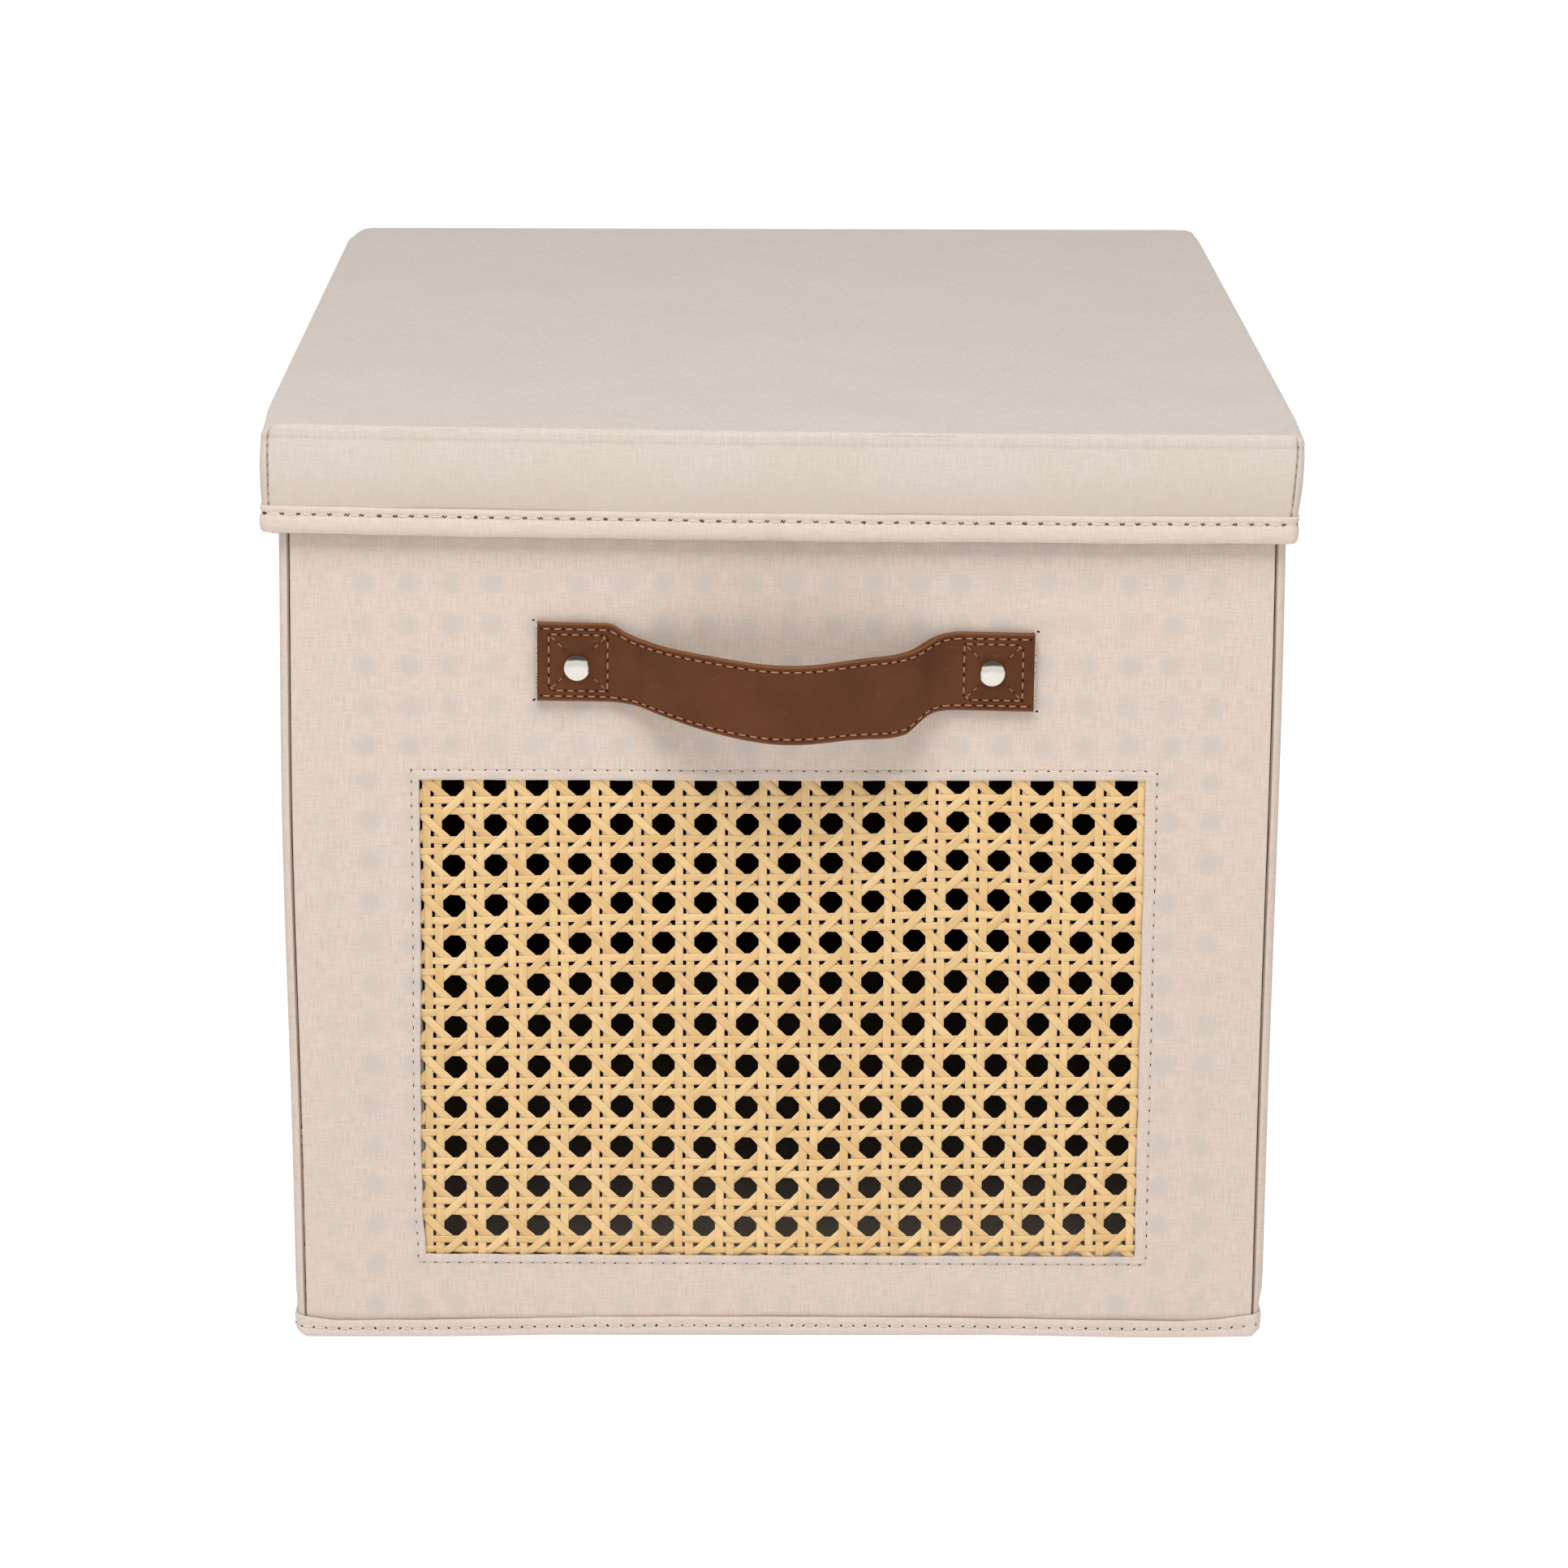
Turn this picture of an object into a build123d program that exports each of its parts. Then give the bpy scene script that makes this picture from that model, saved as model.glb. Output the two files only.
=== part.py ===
from build123d import *
import os
from math import atan, cos, radians, sin

# Fabric storage bin with a lift-off lid, a cane-webbing window and a strap handle.
# Millimetres. The origin is the centre of the underside, on the floor:
# +X is right seen from the front, the front faces -Y, and +Z is up.

# Overall sizes
bin_width = 300.0
bin_depth = 380.0
overall_height = 287.0
bin_corner = 3.0
lid_width = 309.0
lid_depth = 388.0
lid_corner = 2.0
skirt_height = 33.0

# Sheet thicknesses
cloth = 0.5
board = 2.0
lining = 0.4
cane = 1.4
skirt_board = 1.5

# Seams and edges
seam_gap = 0.3
bin_wrap = 2.8
lid_wrap = 1.8
lid_clearance = 1.5
sheet_clearance = 0.1
lid_strip_end_gap = 0.5
lid_lining_corner = 0.5
lid_stitch_drop = 2.4
thread = 0.3
thread_width = 0.5

# Window and cane webbing
window_width = 219.2
window_height = 152.1
window_centre = (0.2, 103.05)
window_stitch_margin = 2.8
cane_columns = 17
cane_rows = 12
cane_column_pitch = 12.7
cane_row_pitch = 12.96
cane_hole_width = 6.8
cane_grid_centre = (2.1, 108.19)

# Strap handle: two plies, riveted at both ends, bowed out in the middle
strap_length = 149.0
strap_height = 23.6
strap_centre = (1.1, 214.1)
strap_tilt = -1.0
ply = 1.3
flat_end = 22.5
bow = 21.0
bow_start_radius = 14.0
droop = 0.3
grip_half_length = 31.5
hinge_gap = 0.3
rivets = [(-61.5, 214.6), (62.9, 213.1)]
rivet_cap_radius = 4.2
rivet_cap_height = 2.0
rivet_cap_rim = 0.6
rivet_back_height = 0.8
post_radius = 1.5
post_clearance = 0.05

# Loose base board
base_gap = 2.0
base_core = 3.0
base_rest_gap = 0.3

# Planes and faces worked out from the sizes above
front = -bin_depth / 2
back = bin_depth / 2
side = bin_width / 2
floor_sheet = 0.6
lid_underside = overall_height - cloth - board - lining
rim = lid_underside - lid_clearance
rim_binding = 0.5
rim_binding_height = 10.0
wall_top = rim - rim_binding
front_inner = front + cloth + cane + board + lining
back_inner = back - cloth - board - lining
side_inner = side - cloth - board - lining
skirt_bottom = overall_height - skirt_height
lid_binding = 0.6
lid_binding_inner = 0.3
lid_binding_height = 8.5
skirt_edge = skirt_bottom + lid_binding
skirt_top = overall_height - cloth
bottom_binding = 0.7
bottom_binding_height = 6.5
bottom_binding_lift = 0.3


def save(piece, name):
    """Label a finished piece and write its STEP file."""
    piece.part.label = name
    export_step(piece.part, f"parts/{name}.step")


def sheet(name, low, high):
    """A flat sheet or board that fills the space between two opposite corners."""
    size = [b - a for a, b in zip(low, high)]
    with BuildPart() as piece:
        with BuildSketch(Plane.XY.offset(low[2])):
            with Locations((low[0] + size[0] / 2, low[1] + size[1] / 2)):
                Rectangle(size[0], size[1])
        extrude(amount=size[2])
    save(piece, name)


def wrapped_side(name, hand, width, depth, corner, wrap, bottom, top):
    """A side cover whose cloth wraps a little way round the front and back corners."""
    with BuildPart() as piece:
        with BuildSketch(Plane.XY.offset(bottom)):
            RectangleRounded(width, depth, corner)
            RectangleRounded(width - 2 * cloth, depth - 2 * cloth, corner - cloth, mode=Mode.SUBTRACT)
            with Locations((hand * (width - wrap) / 2, 0)):
                Rectangle(wrap, depth, mode=Mode.INTERSECT)
        extrude(amount=top - bottom)
    save(piece, name)


def ring(name, width, depth, corner, thickness, bottom, top):
    """An upright band of tape or thread lying against the outside of a rounded box."""
    with BuildPart() as piece:
        with BuildSketch(Plane.XY.offset(bottom)):
            RectangleRounded(width + 2 * thickness, depth + 2 * thickness, corner + thickness)
            RectangleRounded(width, depth, corner, mode=Mode.SUBTRACT)
        extrude(amount=top - bottom)
    save(piece, name)


def rivet_holes():
    """Holes for the rivet posts, bored back through the piece being made."""
    start = front - 2 * ply - rivet_cap_height
    for x, z in rivets:
        with Locations(Plane((x, start, z), x_dir=(1, 0, 0), z_dir=(0, -1, 0))):
            Hole(post_radius + post_clearance, depth=front_inner - start + ply)


def front_layer(name, outer_face, thickness, half_width, windowed):
    """One layer of the front wall, with the window and the rivet holes cut through it."""
    height = wall_top - floor_sheet
    with BuildPart() as piece:
        with BuildSketch(Plane.XZ.offset(-outer_face)):
            with Locations((0, floor_sheet + height / 2)):
                Rectangle(2 * half_width, height)
            if windowed:
                with Locations(window_centre):
                    Rectangle(window_width, window_height, mode=Mode.SUBTRACT)
            else:
                with Locations(cane_grid_centre):
                    with GridLocations(cane_column_pitch, cane_row_pitch, cane_columns, cane_rows):
                        RegularPolygon(cane_hole_width / 2, 8, major_radius=False,
                                       rotation=22.5, mode=Mode.SUBTRACT)
        extrude(amount=-thickness)
        rivet_holes()
    save(piece, name)


def front_wall():
    """Front cover, cane webbing, stiffening board and lining, from the outside in."""
    inner_half = side - bin_corner
    front_layer("front_cover", front, cloth, side - bin_wrap - seam_gap, True)
    front_layer("cane_webbing", front + cloth, cane, inner_half, False)
    front_layer("front_board", front + cloth + cane, board, inner_half, True)
    front_layer("front_lining", front_inner - lining, lining, inner_half, True)


def window_stitching():
    """The line of thread that holds the turned edge round the window."""
    width = window_width + 2 * window_stitch_margin
    height = window_height + 2 * window_stitch_margin
    with BuildPart() as piece:
        with BuildSketch(Plane.XZ.offset(-front)):
            with Locations(window_centre):
                Rectangle(width + thread_width, height + thread_width)
                Rectangle(width - thread_width, height - thread_width, mode=Mode.SUBTRACT)
        extrude(amount=thread)
    save(piece, "window_stitching")


def back_wall():
    """Back cover, stiffening board and lining."""
    inner_half = side - bin_corner
    cover_half = side - bin_wrap - seam_gap
    sheet("back_cover", (-cover_half, back - cloth, floor_sheet), (cover_half, back, wall_top))
    sheet("back_board", (-inner_half, back_inner + lining, floor_sheet),
          (inner_half, back - cloth, wall_top))
    sheet("back_lining", (-inner_half, back_inner, floor_sheet),
          (inner_half, back_inner + lining, wall_top))


def side_walls():
    """Side covers, stiffening boards and linings, left and right."""
    board_reach = bin_depth / 2 - bin_corner
    for name, hand in (("left", -1), ("right", 1)):
        wrapped_side(f"{name}_cover", hand, bin_width, bin_depth, bin_corner, bin_wrap,
                     floor_sheet, wall_top)
        board_faces = sorted((hand * (side - cloth), hand * (side - cloth - board)))
        lining_faces = sorted((hand * (side_inner + lining), hand * side_inner))
        sheet(f"{name}_board", (board_faces[0], -board_reach, floor_sheet),
              (board_faces[1], board_reach, wall_top))
        sheet(f"{name}_lining", (lining_faces[0], front_inner + sheet_clearance, floor_sheet),
              (lining_faces[1], back_inner - sheet_clearance, wall_top))


def bottom():
    """The bottom cloth, its lining and the tape sewn round the bottom edge."""
    with BuildPart() as cover:
        with BuildSketch(Plane.XY):
            RectangleRounded(bin_width, bin_depth, bin_corner)
        extrude(amount=floor_sheet)
    save(cover, "bottom_cover")
    sheet("bottom_lining", (-side_inner, front_inner + sheet_clearance, floor_sheet),
          (side_inner, back_inner - sheet_clearance, floor_sheet + lining))
    ring("bottom_binding", bin_width, bin_depth, bin_corner, bottom_binding,
         bottom_binding_lift, bottom_binding_height)
    tape_width = bin_width + 2 * bottom_binding
    tape_depth = bin_depth + 2 * bottom_binding
    middle = bottom_binding_height / 2
    ring("bottom_stitching", tape_width, tape_depth, bin_corner + bottom_binding, thread,
         middle - thread_width / 2, middle + thread_width / 2)


def rim_tape():
    """The tape folded over the top edge of the four walls."""
    slot_middle = (front_inner + back_inner) / 2
    slot_depth = back_inner - front_inner
    lower_edge = rim - rim_binding_height
    with BuildPart() as piece:
        with BuildSketch(Plane.XY.offset(lower_edge)):
            RectangleRounded(bin_width + 2 * rim_binding, bin_depth + 2 * rim_binding,
                             bin_corner + rim_binding)
            with Locations((0, slot_middle)):
                Rectangle(2 * (side_inner - rim_binding), slot_depth - 2 * rim_binding,
                          mode=Mode.SUBTRACT)
        extrude(amount=rim_binding_height)
        with BuildSketch(Plane.XY.offset(lower_edge)):
            RectangleRounded(bin_width, bin_depth, bin_corner)
            with Locations((0, slot_middle)):
                Rectangle(2 * side_inner, slot_depth, mode=Mode.SUBTRACT)
        extrude(amount=wall_top - lower_edge, mode=Mode.SUBTRACT)
    save(piece, "rim_binding")


# The strap is drawn in plan on a plane that droops outwards, then raised to its height.
tilt = radians(strap_tilt)
strap_up = Vector(-sin(tilt), 0, cos(tilt))
strap_along = Vector(cos(tilt), 0, sin(tilt))
strap_out = Vector(0, -1, -droop)
strap_foot = Vector(strap_centre[0], front - ply, strap_centre[1]) - strap_up * (strap_height / 2)
strap_plane = Plane(strap_foot, x_dir=strap_along, z_dir=strap_along.cross(strap_out))
bow_half_span = strap_length / 2 - flat_end
bow_angle = 2 * atan(bow / bow_half_span)
plane_stretch = strap_out.length


def strap_points(offset):
    """Points along half the strap, from its end to its middle, at an offset from its mid-line."""
    inner = bow_start_radius - offset
    half_turn = bow_angle / 2
    turned = [(-bow_half_span + inner * sin(a), bow_start_radius - inner * cos(a))
              for a in (half_turn, bow_angle)]
    return [(-strap_length / 2, offset), (-bow_half_span, offset)] + turned + [(0, bow + offset)]


def strap_segment(name, near, far, start, end):
    """A stretch of one ply of the strap between two places along its length."""
    with BuildPart() as piece:
        with BuildSketch(strap_plane):
            with BuildLine():
                for offset in (near, far):
                    tip, foot, swell, shoulder, crown = strap_points(offset * plane_stretch)
                    Line(tip, foot)
                    ThreePointArc(foot, swell, shoulder)
                    ThreePointArc(shoulder, crown, (-shoulder[0], shoulder[1]))
                    ThreePointArc((-shoulder[0], shoulder[1]), (-swell[0], swell[1]),
                                  (-foot[0], foot[1]))
                    Line((-foot[0], foot[1]), (-tip[0], tip[1]))
                for hand in (-1, 1):
                    Line((hand * strap_length / 2, near * plane_stretch),
                         (hand * strap_length / 2, far * plane_stretch))
            make_face()
            with Locations(((start + end) / 2, bow / 2)):
                Rectangle(end - start, 4 * bow, mode=Mode.INTERSECT)
        extrude(amount=strap_height, dir=strap_up)
        rivet_holes()
    save(piece, name)


def handle():
    """Both plies of the strap: two riveted ends and the bowed grip between them."""
    cut = grip_half_length + hinge_gap
    stretches = [("left", -strap_length / 2, -cut), ("grip", -grip_half_length, grip_half_length),
                 ("right", cut, strap_length / 2)]
    for place, start, end in stretches:
        strap_segment(f"handle_front_ply_{place}", 0, ply, start, end)
        strap_segment(f"handle_back_ply_{place}", -ply, 0, start, end)


def rivet_parts():
    """Domed rivet caps outside, and tubular posts with flat backs inside."""
    cap_base = front - 2 * ply
    with BuildPart() as caps:
        for x, z in rivets:
            with BuildSketch(Plane((x, 0, z), x_dir=(1, 0, 0), z_dir=(0, 0, 1))):
                with BuildLine():
                    rim_point = (rivet_cap_radius, cap_base - rivet_cap_rim)
                    crown = (0, cap_base - rivet_cap_height)
                    Line((0, cap_base), (rivet_cap_radius, cap_base))
                    Line((rivet_cap_radius, cap_base), rim_point)
                    TangentArc(crown, rim_point, tangent=(1, 0))
                    Line(crown, (0, cap_base))
                make_face()
            revolve(axis=Axis((x, 0, z), (0, 1, 0)))
    save(caps, "rivet_caps")
    with BuildPart() as backs:
        with BuildSketch(Plane.XZ.offset(-cap_base)):
            with Locations(*rivets):
                Circle(post_radius)
        extrude(amount=-(front_inner - cap_base))
        with BuildSketch(Plane.XZ.offset(-front_inner)):
            with Locations(*rivets):
                Circle(rivet_cap_radius)
        extrude(amount=-rivet_back_height)
    save(backs, "rivet_backs")


def base_panel():
    """The loose stiff base: a board in a sewn cloth cover of two pieces."""
    half = side_inner - base_gap
    low_y = front_inner + base_gap
    high_y = back_inner - base_gap
    underside = floor_sheet + lining + base_rest_gap
    core_low = underside + cloth
    core_top = core_low + base_core
    sheet("base_cover_bottom", (-half, low_y, underside), (half, high_y, core_low))
    sheet("base_board", (-half + cloth, low_y + cloth, core_low),
          (half - cloth, high_y - cloth, core_top))
    with BuildPart() as piece:
        with BuildSketch(Plane.XY.offset(core_low)):
            with Locations((0, (low_y + high_y) / 2)):
                Rectangle(2 * half, high_y - low_y)
        extrude(amount=base_core + cloth)
        with BuildSketch(Plane.XY.offset(core_low)):
            with Locations((0, (low_y + high_y) / 2)):
                Rectangle(2 * (half - cloth), high_y - low_y - 2 * cloth)
        extrude(amount=base_core, mode=Mode.SUBTRACT)
    save(piece, "base_cover_top")


def lid_top():
    """The lid's top cloth and the board under it."""
    with BuildPart() as cover:
        with BuildSketch(Plane.XY.offset(skirt_top)):
            RectangleRounded(lid_width, lid_depth, lid_corner)
        extrude(amount=cloth)
    save(cover, "lid_top_cover")
    inset = 2 * (cloth + sheet_clearance)
    with BuildPart() as stiffener:
        with BuildSketch(Plane.XY.offset(skirt_top - board)):
            RectangleRounded(lid_width - inset, lid_depth - inset, lid_corner - cloth)
        extrude(amount=board)
    save(stiffener, "lid_board")


def lid_skirts():
    """The four skirt covers and the stiffening strips behind them."""
    half_width = lid_width / 2
    half_depth = lid_depth / 2
    cover_half = half_width - lid_wrap - seam_gap
    strip_top = skirt_top - board - sheet_clearance
    strip_half = half_width - lid_corner - lid_strip_end_gap
    strip_reach = half_depth - lid_corner - sheet_clearance
    for name, hand in (("front", -1), ("back", 1)):
        cover = sorted((hand * half_depth, hand * (half_depth - cloth)))
        strip = sorted((hand * (half_depth - cloth), hand * (half_depth - cloth - skirt_board)))
        sheet(f"lid_{name}_cover", (-cover_half, cover[0], skirt_edge),
              (cover_half, cover[1], skirt_top))
        sheet(f"lid_{name}_strip", (-strip_half, strip[0], skirt_edge),
              (strip_half, strip[1], strip_top))
    for name, hand in (("left", -1), ("right", 1)):
        strip = sorted((hand * (half_width - cloth), hand * (half_width - cloth - skirt_board)))
        wrapped_side(f"lid_{name}_cover", hand, lid_width, lid_depth, lid_corner, lid_wrap,
                     skirt_edge, skirt_top)
        sheet(f"lid_{name}_strip", (strip[0], -strip_reach, skirt_edge),
              (strip[1], strip_reach, strip_top))


def lid_inside():
    """The lid's lining: a shallow tray of cloth under the board and inside the skirts."""
    inset = 2 * (cloth + skirt_board)
    width = lid_width - inset
    depth = lid_depth - inset
    with BuildPart() as piece:
        with BuildSketch(Plane.XY.offset(skirt_edge)):
            RectangleRounded(width, depth, lid_lining_corner)
        extrude(amount=lid_underside + lining - skirt_edge)
        with BuildSketch(Plane.XY.offset(skirt_edge)):
            Rectangle(width - 2 * lining, depth - 2 * lining)
        extrude(amount=lid_underside - skirt_edge, mode=Mode.SUBTRACT)
    save(piece, "lid_lining")


def lid_tape():
    """The tape folded round the lower edge of the skirts, and its line of thread."""
    stack = cloth + skirt_board + lining
    inner_width = lid_width - 2 * stack
    inner_depth = lid_depth - 2 * stack
    with BuildPart() as piece:
        with BuildSketch(Plane.XY.offset(skirt_bottom)):
            RectangleRounded(lid_width + 2 * lid_binding, lid_depth + 2 * lid_binding,
                             lid_corner + lid_binding)
            Rectangle(inner_width - 2 * lid_binding_inner, inner_depth - 2 * lid_binding_inner,
                      mode=Mode.SUBTRACT)
        extrude(amount=lid_binding_height)
        with BuildSketch(Plane.XY.offset(skirt_edge)):
            RectangleRounded(lid_width, lid_depth, lid_corner)
            Rectangle(inner_width, inner_depth, mode=Mode.SUBTRACT)
        extrude(amount=lid_binding_height, mode=Mode.SUBTRACT)
    save(piece, "lid_binding")
    stitch = skirt_bottom + lid_binding_height - lid_stitch_drop
    ring("lid_stitching", lid_width + 2 * lid_binding, lid_depth + 2 * lid_binding,
         lid_corner + lid_binding, thread, stitch - thread_width / 2, stitch + thread_width / 2)


os.makedirs("parts", exist_ok=True)
front_wall()
window_stitching()
back_wall()
side_walls()
bottom()
rim_tape()
handle()
rivet_parts()
base_panel()
lid_top()
lid_skirts()
lid_inside()
lid_tape()
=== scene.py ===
import math
import random

import bpy
import numpy as np
from mathutils import Matrix, Vector


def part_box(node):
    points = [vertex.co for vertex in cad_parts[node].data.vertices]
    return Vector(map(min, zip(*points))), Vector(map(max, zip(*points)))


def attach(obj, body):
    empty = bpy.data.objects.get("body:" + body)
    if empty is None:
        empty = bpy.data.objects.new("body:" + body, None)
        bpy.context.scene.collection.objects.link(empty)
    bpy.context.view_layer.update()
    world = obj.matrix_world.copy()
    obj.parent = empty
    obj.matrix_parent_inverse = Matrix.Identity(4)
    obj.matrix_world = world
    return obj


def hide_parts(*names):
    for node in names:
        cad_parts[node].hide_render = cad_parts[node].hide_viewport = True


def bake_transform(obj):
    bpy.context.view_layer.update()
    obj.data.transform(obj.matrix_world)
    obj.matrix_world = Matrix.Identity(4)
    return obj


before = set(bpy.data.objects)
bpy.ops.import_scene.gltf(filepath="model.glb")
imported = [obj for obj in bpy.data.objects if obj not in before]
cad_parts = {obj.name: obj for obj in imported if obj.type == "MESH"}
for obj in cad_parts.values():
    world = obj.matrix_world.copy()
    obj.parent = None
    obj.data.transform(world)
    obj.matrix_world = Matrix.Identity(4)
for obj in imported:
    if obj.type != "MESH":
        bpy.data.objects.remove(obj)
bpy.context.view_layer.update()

# Fabric storage bin: lid, cane window and strap handle. Shapes are worked out in
# millimetres, in the CAD frame, and scaled to metres when each mesh is made.
MM = 0.001


def node_box(node):
    """Lowest and highest corner of a CAD node, in millimetres."""
    low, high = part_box(node)
    return np.array(low) / MM, np.array(high) / MM


# ---------------------------------------------------------------- places from the frame
HALF_X, HALF_Y, WALL_BOTTOM = node_box("bottom_cover")[1]
FRONT = -HALF_Y
FRONT_REACH, _, WALL_TOP = node_box("front_cover")[1]
RIM_TAPE_LOW = node_box("rim_binding")[0][2]
RIM = node_box("rim_binding")[1][2]
RIM_TAPE_TALL = RIM - RIM_TAPE_LOW
INNER_X = node_box("right_lining")[1][0]
INNER_FRONT = node_box("front_lining")[0][1]
INNER_BACK = node_box("back_lining")[1][1]
LID_X, LID_Y, LID_TOP = node_box("lid_top_cover")[1]
SKIRT_BOTTOM = node_box("lid_binding")[0][2]
SKIRT_EDGE = node_box("lid_front_cover")[0][2]
CANE_Y = (node_box("cane_webbing")[0][1] + node_box("cane_webbing")[1][1]) / 2
STITCH_MARGIN = 3.05
stitch_low, stitch_high = node_box("window_stitching")
WINDOW = (stitch_low[0] + STITCH_MARGIN, stitch_low[2] + STITCH_MARGIN,
          stitch_high[0] - STITCH_MARGIN, stitch_high[2] - STITCH_MARGIN)

# ---------------------------------------------------------------- sizes, in millimetres
SIDES = (("left", -1), ("right", 1))
ENDS = (("front", -1), ("back", 1))
UPRIGHT_SEAMS = [(f"{end}_{side}", hand_x, hand_y) for end, hand_y in ENDS for side, hand_x in SIDES]
CLOTH = 0.5
LINING_CLOTH = 0.4
CORNER = 3.0
LID_CORNER = 2.0
# how wide the turned hem is on each side of the window
HEM_LEFT, HEM_RIGHT, HEM_LOW, HEM_HIGH = 2.3, 3.5, 2.5, 2.9
SIDE_BULGE = {"left": 0.15, "right": 0.8}
# the doubled band along the lid's top edge starts at this height
SKIRT_BAND = 283.3
TAPE_TALL = 8.5
# the webbing: its spacing, the place of one of its holes, how far its strands weave, and their widths
CANE_PITCH_X, CANE_PITCH_Z = 12.72, 12.96
CANE_X, CANE_Z = 2.45, 36.91
WEAVE = 0.45
UPRIGHT_STRAND, LEVEL_STRAND, SLANTING_STRAND = 2.5, 2.3, 2.6
# the strands beside a hole: how far each is from the hole's middle, in pitches, and its way of weaving
UPRIGHT_SHARES = ((-0.368, -1), (0.368, 1))
LEVEL_SHARES = ((-0.379, -1), (0.341, 1))
# from a little below this height upwards, the webbing's holes show lower through the front cloth
DOT_FOLD = 189.6
# the webbing is stretched a little unevenly: how far it is off its even spacing, by height
SLACK_HEIGHTS = (0, 10, 24, 37, 76, 119, 141, 180, 205, 245, 272, 283)
SLACK_DROPS = (0, 0.2, 0.5, -0.3, -0.4, 0.45, 0.0, -1.9, -3.8, -5.0, -2.0, 0)
# the bottom tape's edges along the front: it is tallest at the corners and lifts in the middle
FOOT_PLACES = (-150, -138, -104, -51, 0, 61, 107, 125, 139, 149)
FOOT_LOWS = (0.4, 0.4, 0.4, 1.3, 1.4, 1.1, 0.2, 0.2, 0.4, 0.6)
FOOT_HIGHS = (7.7, 5.9, 6.1, 7.1, 7.1, 6.7, 6.0, 5.7, 6.6, 8.2)
STRAP_HALF = 12.0
STRAP_X, STRAP_Z = 1.1, 214.85
STRAP_TILT = math.radians(-1.25)
EDGE_STITCH = 1.7
# how unevenly stitches are spaced, as a share of their pitch
NEEDLE_JITTER = 0.05
RIVET_CAD_RADIUS = 4.2
RIVET_RADIUS = 4.35
# the body name of the strap's pieces, which are tied to no body empty and are baked where they stand
SWINGING = "strap"
# the camera: its place in metres, its angles down, aside and tilted, and its lens
CAMERA_PLACE = (-0.01427, -1.69419, 0.58083)
CAMERA_ANGLES = (14.99, 0.57, -0.24)
FOCAL_LENGTH = 118.46
# the light: how bright the surround, the floor and the two lamps are
BACKDROP_GLOW = 1.02
WORLD_GLOW = 0.42
FLOOR_GLOW = 0.86
KEY_POWER = 38.0
FRONT_POWER = 2.5


# ---------------------------------------------------------------- meshes
def ripple(a, b, size, seed, terms=7):
    """A smooth uneven field of about -1 to 1, with waves of about the given size."""
    draw = random.Random(seed)
    total = 0.0 * (a + b)
    for _ in range(terms):
        turn = draw.uniform(0, math.tau)
        wave = size * draw.uniform(0.6, 1.7)
        shift = draw.uniform(0, math.tau)
        total = total + np.sin((a * math.cos(turn) + b * math.sin(turn)) * math.tau / wave + shift)
    return total / math.sqrt(2 * terms)


def wobble(along, size, seed, terms=7):
    """The same uneven field along one line only."""
    return ripple(along, along * 0, size, seed, terms)


def hill(value, centre, width):
    """A smooth hump of height 1."""
    return np.exp(-((value - centre) / width) ** 2)


def smooth_step(value, low, high):
    """0 below low, 1 above high, and a soft rise between them."""
    t = np.clip((value - low) / (high - low), 0.0, 1.0)
    return t * t * (3 - 2 * t)


def finish_piece(name, points, faces, uv, material, body, nodes):
    """Make the mesh object, give it its material, parent it to its body's empty and hide the CAD nodes it
    stands for.
    A piece whose body is SWINGING gets no parent, and its transform is baked into its mesh."""
    mesh = bpy.data.meshes.new(name)
    mesh.from_pydata((np.asarray(points) * MM).tolist(), [], [list(map(int, f)) for f in faces])
    if uv is not None:
        layer = mesh.uv_layers.new(name="UVMap")
        corner = np.zeros(len(mesh.loops), dtype=np.int32)
        mesh.loops.foreach_get("vertex_index", corner)
        layer.data.foreach_set("uv", np.asarray(uv, dtype=np.float32)[corner].ravel())
    mesh.polygons.foreach_set("use_smooth", [True] * len(mesh.polygons))
    mesh.materials.append(material)
    mesh.update()
    piece = bpy.data.objects.new(name, mesh)
    bpy.context.scene.collection.objects.link(piece)
    if body != SWINGING:
        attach(piece, body)
    if nodes:
        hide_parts(*nodes)
    if body == SWINGING:
        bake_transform(piece)
    return piece


def surface_normals(points):
    """Unit normals of a grid of points, along first direction x second direction."""
    along_u = np.gradient(points, axis=0)
    along_v = np.gradient(points, axis=1)
    normals = np.cross(along_u, along_v)
    return normals / np.maximum(np.linalg.norm(normals, axis=2, keepdims=True), 1e-9)


def slab(name, points, uv, thickness, material, body, nodes, slot, keep=None):
    """A sheet with thickness: an outer face from a grid of points, an inner face and rims."""
    rows, columns = points.shape[:2]
    inner = points - surface_normals(points) * thickness
    count = rows * columns
    if keep is None:
        keep = np.ones((rows - 1, columns - 1), dtype=bool)
    index = np.arange(count).reshape(rows, columns)
    corners = np.stack([index[:-1, :-1], index[1:, :-1], index[1:, 1:], index[:-1, 1:]], axis=-1)
    outer = corners[keep]
    padded = np.pad(keep, 1)
    sides = [(padded[1:-1, :-2], 0, 1), (padded[2:, 1:-1], 1, 2),
             (padded[1:-1, 2:], 2, 3), (padded[:-2, 1:-1], 3, 0)]
    rims = []
    for neighbour, a, b in sides:
        edge = corners[keep & ~neighbour]
        rims.append(np.stack([edge[:, b], edge[:, a], edge[:, a] + count, edge[:, b] + count], 1))
    faces = np.concatenate([outer, outer[:, ::-1] + count] + rims)
    both = np.concatenate([points.reshape(-1, 3), inner.reshape(-1, 3)])
    used = np.unique(faces)
    renumber = np.full(2 * count, -1)
    renumber[used] = np.arange(len(used))
    flat_uv = np.concatenate([uv.reshape(-1, 2)] * 2)[used]
    return finish_piece(name, both[used], renumber[faces], flat_uv, material, body, nodes)


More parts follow.
